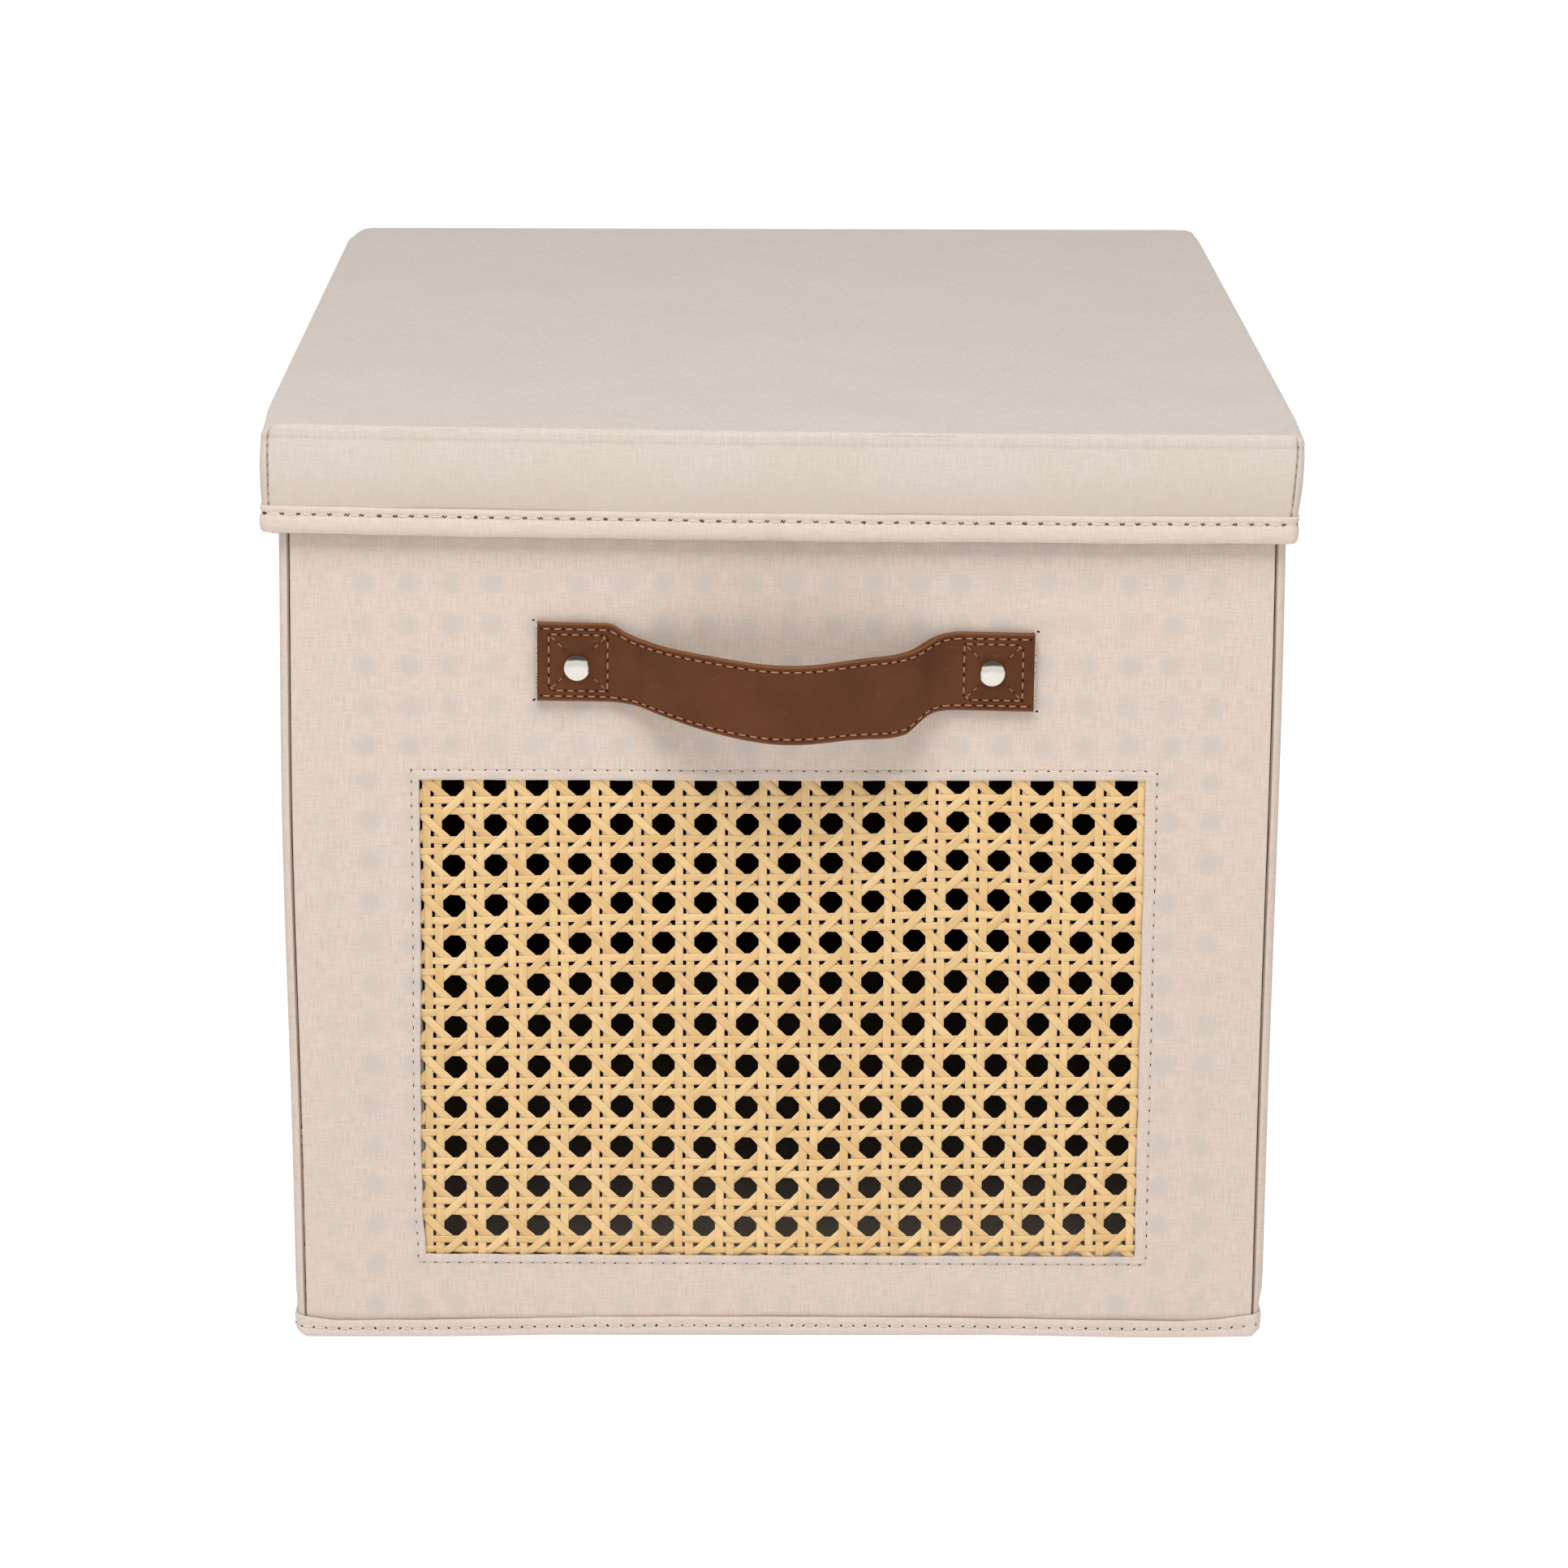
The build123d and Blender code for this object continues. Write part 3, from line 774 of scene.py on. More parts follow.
def front_surface(u, v):
    """The front cloth: gentle waves, a turned hem round the window, drag lines under it."""
    left, low, right, high = WINDOW
    sides = [(left - u) / HEM_LEFT, (u - right) / HEM_RIGHT, (low - v) / HEM_LOW, (v - high) / HEM_HIGH]
    beyond = np.maximum.reduce(sides)
    proud = 0.22 * ripple(u, v, 95, 3) + 0.1 * ripple(u, v, 30, 4)
    under = smooth_step(v, 8, 13) * (1 - smooth_step(v, 19, 26))
    drag = 0.34 + 0.34 * hill(u, 75, 45)
    proud = proud + drag * under * (0.35 + 0.8 * ripple(u * 1.6, u * 0.9 + v * 1.5, 26, 5))
    hem = 1 - smooth_step(beyond, 0.88, 1.1)
    proud = proud + 0.38 * hem - 0.25 * np.exp(-((beyond - 1) / 0.12) ** 2)
    proud = proud - 0.4 * (1 - smooth_step(beyond, -0.01, 0.16))
    seam = smooth_step(np.abs(u), FRONT_REACH - 0.45, FRONT_REACH)
    proud = proud * (1 - smooth_step(np.abs(u), FRONT_REACH - 6, FRONT_REACH)) - 0.22 * seam
    near_hem = np.exp(-np.abs(beyond))
    drift = 0.9 * smooth_step(-v, -44, -27) - 0.85 * smooth_step(-v, -150, -70)
    x = u + drift * np.exp(-np.abs(u - left) / 9) + side_bulge(u, v)
    x = x + 0.16 * ripple(u * 0, v, 22, 6) * near_hem
    z = v - 0.45 * (u / right) * np.exp(-np.abs(v - low) / 9)
    z = z + 0.16 * ripple(u, v * 0, 24, 7) * near_hem
    return np.stack([x, FRONT - proud, z], axis=-1)


def front_cover():
    """The front cloth with its window."""
    left, low, right, high = WINDOW
    reach = FRONT_REACH
    us = grid_lines(-reach, reach, 4.0, [(left, 1), (right, -1), (-reach, -1), (reach, 1)])
    vs = grid_lines(WALL_BOTTOM, WALL_TOP, 4.0, [(low, 1), (high, -1)])
    u, v, uv = grid(us, vs)
    inside, hole = window_hole(us, vs)
    cloth("front_cloth", front_surface(u, v), uv, CLOTH, FRONT_CLOTH, "bin", ["front_cover"], "bin_cloth",
          (2 * reach, WALL_TOP - WALL_BOTTOM), ["front_board"], keep=~inside, hole=hole)


def back_cover():
    """The plain back cloth."""
    reach = node_box("back_cover")[1][0]
    u, v, uv = grid(np.linspace(-reach, reach, 60), np.linspace(WALL_BOTTOM, WALL_TOP, 50))
    proud = 0.2 + 0.22 * ripple(u, v, 100, 11) + 0.08 * ripple(u, v, 34, 12)
    proud = proud - 0.5 * smooth_step(np.abs(u), reach - 2.5, reach)
    points = np.stack([side_bulge(-u, v) - u, HALF_Y + proud, v], -1)
    cloth("back_cloth", points, uv, CLOTH, BIN_CLOTH, "bin", ["back_cover"], "bin_cloth",
          (2 * reach, WALL_TOP - WALL_BOTTOM), ["back_board"])


def side_covers():
    """The side cloths, wrapped a little way round the front and back corners."""
    wrap = HALF_X - abs(node_box("front_cover")[0][0]) - 0.35
    for side, hand in SIDES:
        plan, outward, lengths = wrapped_edge(hand, HALF_X, HALF_Y, CORNER, wrap, 5.0)
        along, v, uv = grid(lengths, np.linspace(WALL_BOTTOM, WALL_TOP, 56))
        proud = 0.22 * ripple(along, v, 110, 21 + hand) + 0.08 * ripple(along, v, 36, 25 + hand)
        ends = np.minimum(along, lengths[-1] - along)
        proud = (0.25 + proud) * smooth_step(ends, 3, 30) - 0.2 * (1 - smooth_step(ends, 0, 0.45))
        x = plan[:, :1] + outward[:, :1] * proud + side_bulge(plan[:, :1], v)
        points, uv = facing(hand, np.stack([x, plan[:, 1:] + outward[:, 1:] * proud, v], -1), uv)
        cloth(f"{side}_cloth", settle_foot(points), uv, CLOTH, BIN_CLOTH, "bin", [f"{side}_cover"],
              "bin_cloth", (lengths[-1], WALL_TOP - WALL_BOTTOM), [f"{side}_stiffener"])


# ---------------------------------------------------------------- window edge and seams
def window_line(shift):
    """Points round the window at a share of the hem's width outside its edge."""
    left, low, right, high = WINDOW
    x0, x1 = left - HEM_LEFT * shift, right + HEM_RIGHT * shift
    z0, z1 = low - HEM_LOW * shift, high + HEM_HIGH * shift
    corners = [(x0, z1), (x0, z0), (x1, z0), (x1, z1), (x0, z1)]
    line = []
    for (ax, az), (bx, bz) in zip(corners[:-1], corners[1:]):
        shares = np.linspace(0, 1, 90, endpoint=False)
        line.append(np.stack([ax + (bx - ax) * shares, az + (bz - az) * shares], 1))
    return np.concatenate(line)


def window_stitches():
    """Pale thread and needle holes that hold the turned edge round the window."""
    flat = window_line(1.0)
    points = front_surface(flat[:, 0], flat[:, 1])
    holes, normals, alongs = stitch("window_thread", points, np.tile([0.0, -1.0, 0.0], (len(points), 1)),
                                    3.7, 31, 0.2, 0.35, "bin", ["window_stitching"])
    upright = np.abs(alongs[:, 2]) > 0.7
    places = holes + normals * 0.06
    # the needle holes and slits are dark patches of painted shade
    needle_hole_shades("window_needle_holes", places[~upright], normals[~upright], alongs[~upright], 0.4, "bin", 32)
    needle_hole_shades("window_needle_slits", places[upright], normals[upright], alongs[upright] * 1.9, 0.3,
                 "bin", 33)


def cord(name, points, radius, seed, material, body, closed=False):
    """A thin uneven thread or fold that follows a line of points."""
    points = np.asarray(points, float)
    ahead = np.gradient(points, axis=0)
    ahead /= np.linalg.norm(ahead, axis=1, keepdims=True)
    helper = np.where(np.abs(ahead[:, 2:]) > 0.7, [[0.0, 1.0, 0.0]], [[0.0, 0.0, 1.0]])
    across = np.cross(ahead, helper)
    across /= np.linalg.norm(across, axis=1, keepdims=True)
    upward = np.cross(across, ahead)
    number = np.arange(len(points))
    thick = radius * (1 + 0.25 * wobble(number * 1.0, 9, seed))
    turns = np.arange(6) / 6 * math.tau
    rings = (points[:, None] + across[:, None] * (np.cos(turns)[None, :, None] * thick[:, None, None])
             + upward[:, None] * (np.sin(turns)[None, :, None] * thick[:, None, None]))
    uv = np.stack(np.broadcast_arrays(turns[None] / math.tau, number[:, None] * 0.5), -1)
    loft(name, rings, uv, material, body, (), closed=closed)


def bin_seams():
    """The upright seams at the four corners, where the side cloths meet front and back. A thin brown cord of
    painted shade fills each seam's gap.
    """
    zs = np.linspace(WALL_BOTTOM + 5, WALL_TOP, 110)
    for place, hand_x, hand_y in UPRIGHT_SEAMS:
        seam_x = hand_x * (FRONT_REACH + 0.15)
        x = seam_x + side_bulge(seam_x, zs)
        y = np.full_like(zs, hand_y * (HALF_Y - 0.02))
        cord(f"{place}_seam", np.stack([x, y, zs], 1), 0.2, 43, SEAM_GAP_SHADE, "bin")


# ---------------------------------------------------------------- cane webbing
def pull_webbing(x, z):
    """The webbing is stretched a little unevenly over its frame."""
    up = np.interp(z, SLACK_HEIGHTS, SLACK_DROPS)
    up = up - 1.3 * hill(x, -104, 36) * hill(z, 125, 42) + 1.2 * hill(x, 54, 28) * hill(z, 148, 36)
    up = up - 0.8 * hill(x, 2, 30) * hill(z, 55, 26) + 0.7 * hill(x, 106, 30) * hill(z, 45, 24)
    low = np.clip((102 - z) / 65, 0, 1)
    share = x / 100
    return x - low * (0.4 + 0.35 * share * share - 0.15 * share), z + up


def strand_family(name, lines, nodes=()):
    """Flat domed strands of split cane: each line gives centres and levels, and its width."""
    across_shape = np.array([-0.5, -0.43, -0.2, 0.2, 0.43, 0.5, 0.36, -0.36])
    height_shape = np.array([-0.05, 0.14, 0.21, 0.21, 0.14, -0.05, -0.21, -0.21])
    sides = len(across_shape)
    points, faces, uvs = [], [], []
    total = 0
    for number, (x, z, level, width) in enumerate(lines):
        ahead = np.stack([np.gradient(x), np.gradient(z)], 1)
        ahead /= np.linalg.norm(ahead, axis=1, keepdims=True)
        side = np.stack([-ahead[:, 1], ahead[:, 0]], 1)
        wide = across_shape[None] * width[:, None]
        place_x, place_z = pull_webbing(x[:, None] + side[:, :1] * wide, z[:, None] + side[:, 1:] * wide)
        rings = np.stack([place_x, CANE_Y - level[:, None] - height_shape[None] + 0 * wide, place_z], -1)
        faces += tube_faces(len(x), sides, first=total)
        gaps = np.concatenate([[0], np.cumsum(np.hypot(np.diff(x), np.diff(z)))])
        across = number + 0.5 + 0.96 * across_shape
        flat = np.broadcast_arrays(across[None], gaps[:, None] + 37.0 * number)
        uvs.append(np.stack(flat, -1).reshape(-1, 2))
        points.append(rings.reshape(-1, 3))
        total += len(x) * sides
    finish_piece(name, np.concatenate(points), faces, np.concatenate(uvs), CANE, "bin", nodes)


def cane_webbing():
    """Six-way cane webbing: pairs of upright and level strands, and one of each diagonal."""
    reach_x = node_box("cane_webbing")[1][0] - 0.4
    low, high = WALL_BOTTOM + 0.3, WALL_TOP - 0.3
    p, q = CANE_PITCH_X, CANE_PITCH_Z
    draw = random.Random(51)
    upright, level_strands, rising, falling = [], [], [], []

    def uneven(along, amount):
        """Slight wander of a strand and slight change of its width."""
        seed = draw.randrange(10000)
        return amount * wobble(along, 46, seed, 4), 1 + 0.035 * wobble(along, 60, seed + 1, 4)

    z = np.arange(low, high, q / 10)
    for column in range(math.ceil((-reach_x - CANE_X) / p) - 1, math.floor((reach_x - CANE_X) / p) + 2):
        for share, hand in UPRIGHT_SHARES:
            x0 = CANE_X + (column + share) * p
            if abs(x0) > reach_x - 1.4:
                continue
            wander, swell = uneven(z, 0.09)
            level = -hand * WEAVE / 2 * np.sin((z - CANE_Z) / q * math.tau) / 0.76
            upright.append((x0 + wander, z, level, UPRIGHT_STRAND * swell))
    x = np.arange(-reach_x, reach_x, p / 10)
    for row in range(math.floor((low - CANE_Z) / q), math.ceil((high - CANE_Z) / q) + 1):
        for share, hand in LEVEL_SHARES:
            z0 = CANE_Z + (row + share) * q
            if not low + 1.4 < z0 < high - 1.4:
                continue
            wander, swell = uneven(x, 0.09)
            level = hand * WEAVE / 2 * np.sin((x - CANE_X) / p * math.tau) / 0.73
            level_strands.append((x, z0 + wander, level, LEVEL_STRAND * swell))
    columns = math.ceil(2 * reach_x / p) + math.ceil((high - low) / q) + 4
    for number in range(-columns, columns):
        for slope, family in ((1, rising), (-1, falling)):
            s = np.arange(-columns, columns, 0.1)
            line_x = CANE_X + s * p
            line_z = CANE_Z + (slope * (s - 0.5) + number) * q
            inside = (np.abs(line_x) < reach_x) & (line_z > low) & (line_z < high)
            if inside.sum() < 12:
                continue
            line_x, line_z, s = line_x[inside], line_z[inside], s[inside]
            wander, swell = uneven(line_x, 0.08)
            level = slope * WEAVE * np.cos(s * math.tau)
            family.append((line_x, line_z + wander, level, SLANTING_STRAND * swell))
    strand_family("cane_upright", upright, ["cane_webbing"])
    strand_family("cane_level", level_strands)
    strand_family("cane_rising", rising)
    strand_family("cane_falling", falling)


def facing_strip():
    """The coarse grey facing behind the webbing's lower right corner."""
    left, low, right, _ = WINDOW
    us = np.linspace(left + 60, right + 6, 50)
    shares = np.linspace(0, 1, 8)
    bottom = low - 11
    top = low + 0.2 + 1.9 * smooth_step(us, left + 70, right - 10)
    u = np.repeat(us[:, None], len(shares), 1)
    v = bottom + (top[:, None] - bottom) * shares[None]
    y = np.full_like(u, CANE_Y + 0.67) + 0.03 * ripple(u, v, 6, 61)
    cloth("window_facing", np.stack([u, y, v], -1), np.stack([u, v], -1), 0.25, FACING, "bin", (),
          "lining_cloth", (us[-1] - us[0], 12), ["front_board"])


# ---------------------------------------------------------------- tapes round an edge
def tape_ring(name, sections, body, nodes, warp=None, material=None):
    """A tape that follows closed paths: each section entry is (path, outwards, height)."""
    rings = [beside(path, out, height)[0] for path, out, height in sections]
    steps = [np.linalg.norm(ring - last, axis=1).mean() for last, ring in zip(rings[:-1], rings[1:])]
    around = np.concatenate([[0.0], np.cumsum(steps)])
    rings = np.stack(rings, axis=1)
    if warp:
        rings = warp(rings)
    lengths, whole = path_lengths(sections[0][0][0])
    uv = np.stack(np.broadcast_arrays(lengths[:, None], around[None]), -1)
    piece = loft(name, rings, uv, material or TAPE, body, nodes, closed=True)


def bottom_edges(x, y):
    """Heights of the bottom tape's lower and upper edges, uneven along the front."""
    front = 1 - smooth_step(y, -HALF_Y + 4, -HALF_Y + 60)
    low = np.interp(x, FOOT_PLACES, FOOT_LOWS)
    high = np.interp(x, FOOT_PLACES, FOOT_HIGHS)
    return 0.35 + (low - 0.35) * front, 6.2 + (high - 6.2) * front


def settle_foot(points):
    """The foot of the bin draws in at its corners: its tape, side cloths, bottom cloth and side boards."""
    x, z = points[..., 0], points[..., 2]
    near = smooth_step(np.abs(x), HALF_X - 4, HALF_X)
    near = near * smooth_step(np.abs(points[..., 1]), HALF_Y - 95, HALF_Y - 30)
    curl = np.clip((3.4 - z) / 3.4, 0, 1) ** 1.6
    foot = 1 - smooth_step(z, 9, 18)
    moved = points.copy()
    moved[..., 0] -= np.sign(x) * near * foot * (np.where(x > 0, 1.0, 0.4) + 2.2 * curl)
    return moved


def bottom_binding():
    """The tape round the bottom edge, folded under, with its thread."""
    path = edge_path(HALF_X, HALF_Y, CORNER)
    inner = edge_path(HALF_X - 4, HALF_Y - 4, 1.0)
    points = path[0]
    low, high = bottom_edges(points[:, 0], points[:, 1])
    lengths, _ = path_lengths(points)
    puff = 0.16 * wobble(lengths, 30, 71) + 0.08 * wobble(lengths, 9, 72)
    high = high + 0.1 * wobble(lengths, 18, 73)
    tall = high - low
    sections = [(path, 0.02, high - 0.35), (path, 0.45, high), (path, 0.72 + puff, high - 0.45),
                (path, 0.82 + puff, low + tall * 0.78), (path, 0.6 + puff, low + tall * 0.6),
                (path, 0.46 + puff * 0.5, low + tall * 0.5), (path, 0.6 + puff, low + tall * 0.4),
                (path, 0.8 + puff, low + tall * 0.24), (path, 0.6 + puff, low + 0.55),
                (path, 0.3, low), (path, -1.2, low * 0.5), (inner, 0.0, 0.0), (inner, 0.0, 0.25),
                (path, -1.0, low * 0.5 + 0.45), (path, 0.02, low + 0.6)]
    tape_ring("bottom_tape", sections, "bin", ["bottom_binding"],
              warp=settle_foot)
    line, outward = beside(path, 0.56 + puff * 0.5, low + tall * 0.5)
    holes, normals, alongs = stitch("bottom_thread", settle_foot(line), outward, 3.8, 74, 0.22, 0.45, "bin",
                                    ["bottom_stitching"])
    # dark patches of painted shade at the needle holes
    needle_hole_shades("bottom_needle_holes", holes + normals * 0.1, normals, alongs, 0.36, "bin", 75)


def rim_binding():
    """The tape folded over the top edge of the walls."""
    outer = edge_path(HALF_X, HALF_Y, CORNER)
    inner = edge_path(INNER_X, (INNER_BACK - INNER_FRONT) / 2, 0.5, centre_y=(INNER_BACK + INNER_FRONT) / 2)
    lengths, _ = path_lengths(outer[0])
    puff = 0.12 * wobble(lengths, 40, 81)
    low = RIM_TAPE_LOW + 0.2 * wobble(lengths, 50, 82)
    sections = [(outer, 0.02, low), (outer, 0.42 + puff * 0.5, low + 0.1), (outer, 0.5 + puff, low + 2),
                (outer, 0.5 + puff, RIM - 2.5), (outer, 0.45, RIM - 0.8), (outer, -0.2, RIM - 0.1),
                (outer, -1.6, RIM), (inner, 0.9, RIM), (inner, -0.1, RIM - 0.2), (inner, -0.6, RIM - 1.0),
                (inner, -0.7, RIM - 3), (inner, -0.7, low + 2), (inner, -0.5, low + 0.1),
                (inner, -0.02, low), (inner, 0.0, RIM - 0.6), (outer, 0.0, RIM - 0.6)]
    tape_ring("rim_tape", sections, "bin", ["rim_binding"])
    stitch("rim_thread", *beside(outer, 0.5 + puff, low + 2.2), 4.2, 83, 0.2, 0.4, "bin")


# ---------------------------------------------------------------- inside and underside
def flat_piece(name, node, axis, hand, material, slot, seed, wave=0.25, body="bin", warp=None,
               cells=(40, 30), soft=True, rests_on=(), held="stretched", thickness=None):
    """A sheet or board from its CAD box, facing one way along one axis, gently uneven."""
    low, high = node_box(node)
    first, second = [k for k in range(3) if k != axis]
    us = np.linspace(low[first], high[first], cells[0])
    vs = np.linspace(low[second], high[second], cells[1])
    u, v, uv = grid(us, vs)
    edge = np.minimum(np.minimum(u - us[0], us[-1] - u), np.minimum(v - vs[0], vs[-1] - v))
    push = wave * ripple(u, v, 80, seed) * smooth_step(edge, RIM_TAPE_TALL, RIM_TAPE_TALL + 30)
    points = np.zeros(u.shape + (3,))
    points[..., first], points[..., second] = u, v
    points[..., axis] = (high[axis] if hand > 0 else low[axis]) + hand * push
    points, uv = facing(-hand if axis == 1 else hand, points, uv)
    if warp:
        points = warp(points)
    made = (name, points, uv, thickness or high[axis] - low[axis], material, body, [node], slot)
    if soft:
        cloth(*made, (us[-1] - us[0], vs[-1] - vs[0]), rests_on, held=held)
    else:
        slab(*made)


def front_lining():
    """The front wall's lining, with its window opening."""
    left, low, right, high = WINDOW
    node_low, node_high = node_box("front_lining")
    us = grid_lines(node_low[0], node_high[0], 6.0, [(left, 1), (right, -1)])
    vs = grid_lines(node_low[2], node_high[2], 6.0, [(low, 1), (high, -1)])
    u, v, uv = grid(us, vs)
    inside, hole = window_hole(us, vs, hand=-1)
    below_tape = smooth_step(node_high[2] - v, RIM_TAPE_TALL, RIM_TAPE_TALL + 30)
    points = np.stack([-u, node_high[1] + 0.15 * ripple(u, v, 80, 91) * below_tape, v], -1)
    cloth("front_wall_lining", points, uv, LINING_CLOTH, LINING, "bin", ["front_lining"], "lining_cloth",
          (node_high[0] - node_low[0], node_high[2] - node_low[2]), ["front_board"], keep=~inside, hole=hole)


def bin_inside():
    """Wall linings, side boards, bottom cloth and bottom lining."""
    front_lining()
    for side, axis, hand, seed, board in (("back", 1, -1, 92, "back_board"),
                                          ("left", 0, 1, 93, "left_stiffener"),
                                          ("right", 0, -1, 94, "right_stiffener")):
        flat_piece(f"{side}_wall_lining", f"{side}_lining", axis, hand, LINING, "lining_cloth", seed,
                   rests_on=[board])
    for side, hand in SIDES:
        flat_piece(f"{side}_stiffener", f"{side}_board", 0, hand, BOARD, "stiffener", 97, wave=0.0,
                   soft=False, cells=(90, 120), warp=settle_foot, thickness=1.0)
    flat_piece("bottom_cloth", "bottom_cover", 2, -1, BIN_CLOTH, "bin_cloth", 95, wave=0.0,
               warp=lambda p: settle_foot(p) * [0.988, 0.988, 1.0])
    flat_piece("floor_lining", "bottom_lining", 2, 1, LINING, "lining_cloth", 96, wave=0.1,
               rests_on=["bottom_cloth"], held="laid")


def base_panel():
    """The loose base's two cover pieces, sewn together round the edge of its board."""
    low, high = node_box("base_cover_top")
    middle, half = (low + high) / 2, (high - low) / 2
    drop = high[2] - low[2]
    radius = 1.2
    steps = np.array([drop + 0.2, drop * 0.7, drop * 0.4, 1.0, 0.6, 0.3, 0.1])
    u, v, uv = grid(
        np.concatenate([-half[0] - steps, np.linspace(-half[0], half[0], 44), half[0] + steps[::-1]]),
        np.concatenate([-half[1] - steps, np.linspace(-half[1], half[1], 52), half[1] + steps[::-1]]))

    def folded(value, limit):
        """Where a flat place comes to lie once the edge is folded over, and how far down."""
        over = np.clip(np.abs(value) - (limit - radius), 0, None)
        turn = np.clip(over / radius, 0, math.pi / 2)
        across = np.minimum(np.abs(value), limit - radius) + radius * np.sin(turn)
        down = radius * (1 - np.cos(turn)) + np.clip(over - radius * math.pi / 2, 0, None)
        return np.sign(value) * across, down

    x, down_x = folded(u, half[0])
    y, down_y = folded(v, half[1])
    down = np.minimum(np.maximum(down_x, down_y), drop)
    bump = 0.18 * ripple(u, v, 90, 101) * (1 - np.clip(down, 0, 1))
    points = np.stack([middle[0] + x, middle[1] + y, high[2] - down + bump], -1)
    cloth("base_top_cloth", points, uv, CLOTH * 0.9, BASE_CLOTH, "base", ["base_cover_top"],
          "lining_cloth", (2 * half[0] + 2 * drop, 2 * half[1] + 2 * drop), ["base_board"], held="folded")
    flat_piece("base_under_cloth", "base_cover_bottom", 2, -1, BASE_CLOTH, "lining_cloth", 102,
               wave=0.0, body="base")
    path = edge_path(half[0] - 0.1, half[1] - 0.1, 0.6)
    ring = np.column_stack([path[0] + middle[:2], np.full(len(path[0]), low[2] + 0.15)])
    cord("base_seam", ring, 0.4, 103, BASE_CLOTH, "base", closed=True)


# ---------------------------------------------------------------- lid
def settle_lid(points):
    """The lid sits a little skewed: higher at the front left, fading to level at the back.
    Its upper corners are softened, and its right front corner slants in towards its lower edge."""
    x, y, z = points[..., 0], points[..., 1], points[..., 2]
    s = np.clip(x / LID_X, -1.02, 1.02)
    fade = np.clip((LID_Y - y) / (2 * LID_Y), 0, 1)
    high = np.clip((z - LID_TOP + 5) / 5, 0, 1) ** 2
    near_x = np.clip((np.abs(x) - LID_X + 6) / 6, 0, 1)
    near_y = smooth_step(np.abs(y), LID_Y - 30, LID_Y)
    softened = high * near_x * near_y * np.where(x < 0, 1.0, 0.35)
    moved_x = x - np.sign(x) * 2.2 * softened
    slant = np.clip((LID_TOP - 6 - z) / 25, 0, 1) * smooth_step(x, 120, 150)
    moved_x = moved_x - 1.9 * slant * smooth_step(-y, LID_Y - 70, LID_Y)
    moved_z = z + ((-1.42 * s + 0.72 * s * s - 0.2) * fade - 1.3 * softened * near_x)
    return np.stack([moved_x, y, moved_z], -1)


def lid_top():
    """The lid's top cloth, rounded over at its edges."""
    radius = 1.3
    steps = np.array([1.3, 1.15, 0.95, 0.7, 0.45, 0.2, 0.0])
    u, v, uv = grid(*(np.concatenate([-half + radius - steps, np.linspace(-half + 3, half - 3, count),
                                      half - radius + steps[::-1]])
                      for half, count in ((LID_X, 70), (LID_Y, 86))))
    past_x, past_y = np.abs(u) - LID_X, np.abs(v) - LID_Y
    over = np.hypot(np.clip(past_x + radius, 0, None), np.clip(past_y + radius, 0, None))
    over = np.clip(over, 0, radius * 0.999)
    drop = radius - np.sqrt(radius * radius - over * over)
    corner = np.hypot(np.clip(past_x + 5, 0, None) / 5, np.clip(past_y + 5, 0, None) / 5)
    drop = drop * 0.75 + 2.0 * smooth_step(corner, 1.0, 1.42)
    bump = 0.35 * ripple(u, v, 150, 111) + 0.1 * ripple(u, v, 40, 112)
    bump = bump * smooth_step(np.minimum(LID_X - np.abs(u), LID_Y - np.abs(v)), 0, 25)
    cloth("lid_top_cloth", settle_lid(np.stack([u, v, LID_TOP - drop + bump], -1)), uv, CLOTH, LID_CLOTH,
          "lid", ["lid_top_cover"], "lid_cloth", (2 * LID_X, 2 * LID_Y), ["lid_board"])


def skirt_profile(v):
    """How far the skirt stands out at each height: a doubled band along its top edge."""
    band = smooth_step(v, SKIRT_BAND - 0.7, SKIRT_BAND + 0.7)
    top = np.clip(v - (LID_TOP - 1.6), 0, None)
    belly = np.sin(np.pi * np.clip((v - SKIRT_EDGE - 6) / (SKIRT_BAND - SKIRT_EDGE - 6), 0, 1))
    return 0.26 * band + 0.6 * belly - 0.3 * top * top


def skirt(side, hand, points, uv, wide, tall):
    """One skirt cloth from its points."""
    points, uv = facing(hand, points, uv)
    cloth(f"lid_{side}_cloth", settle_lid(points), uv, CLOTH, SKIRT_CLOTH, "lid", [f"lid_{side}_cover"],
          "lid_cloth", (wide, tall), [f"lid_{side}_strip"])


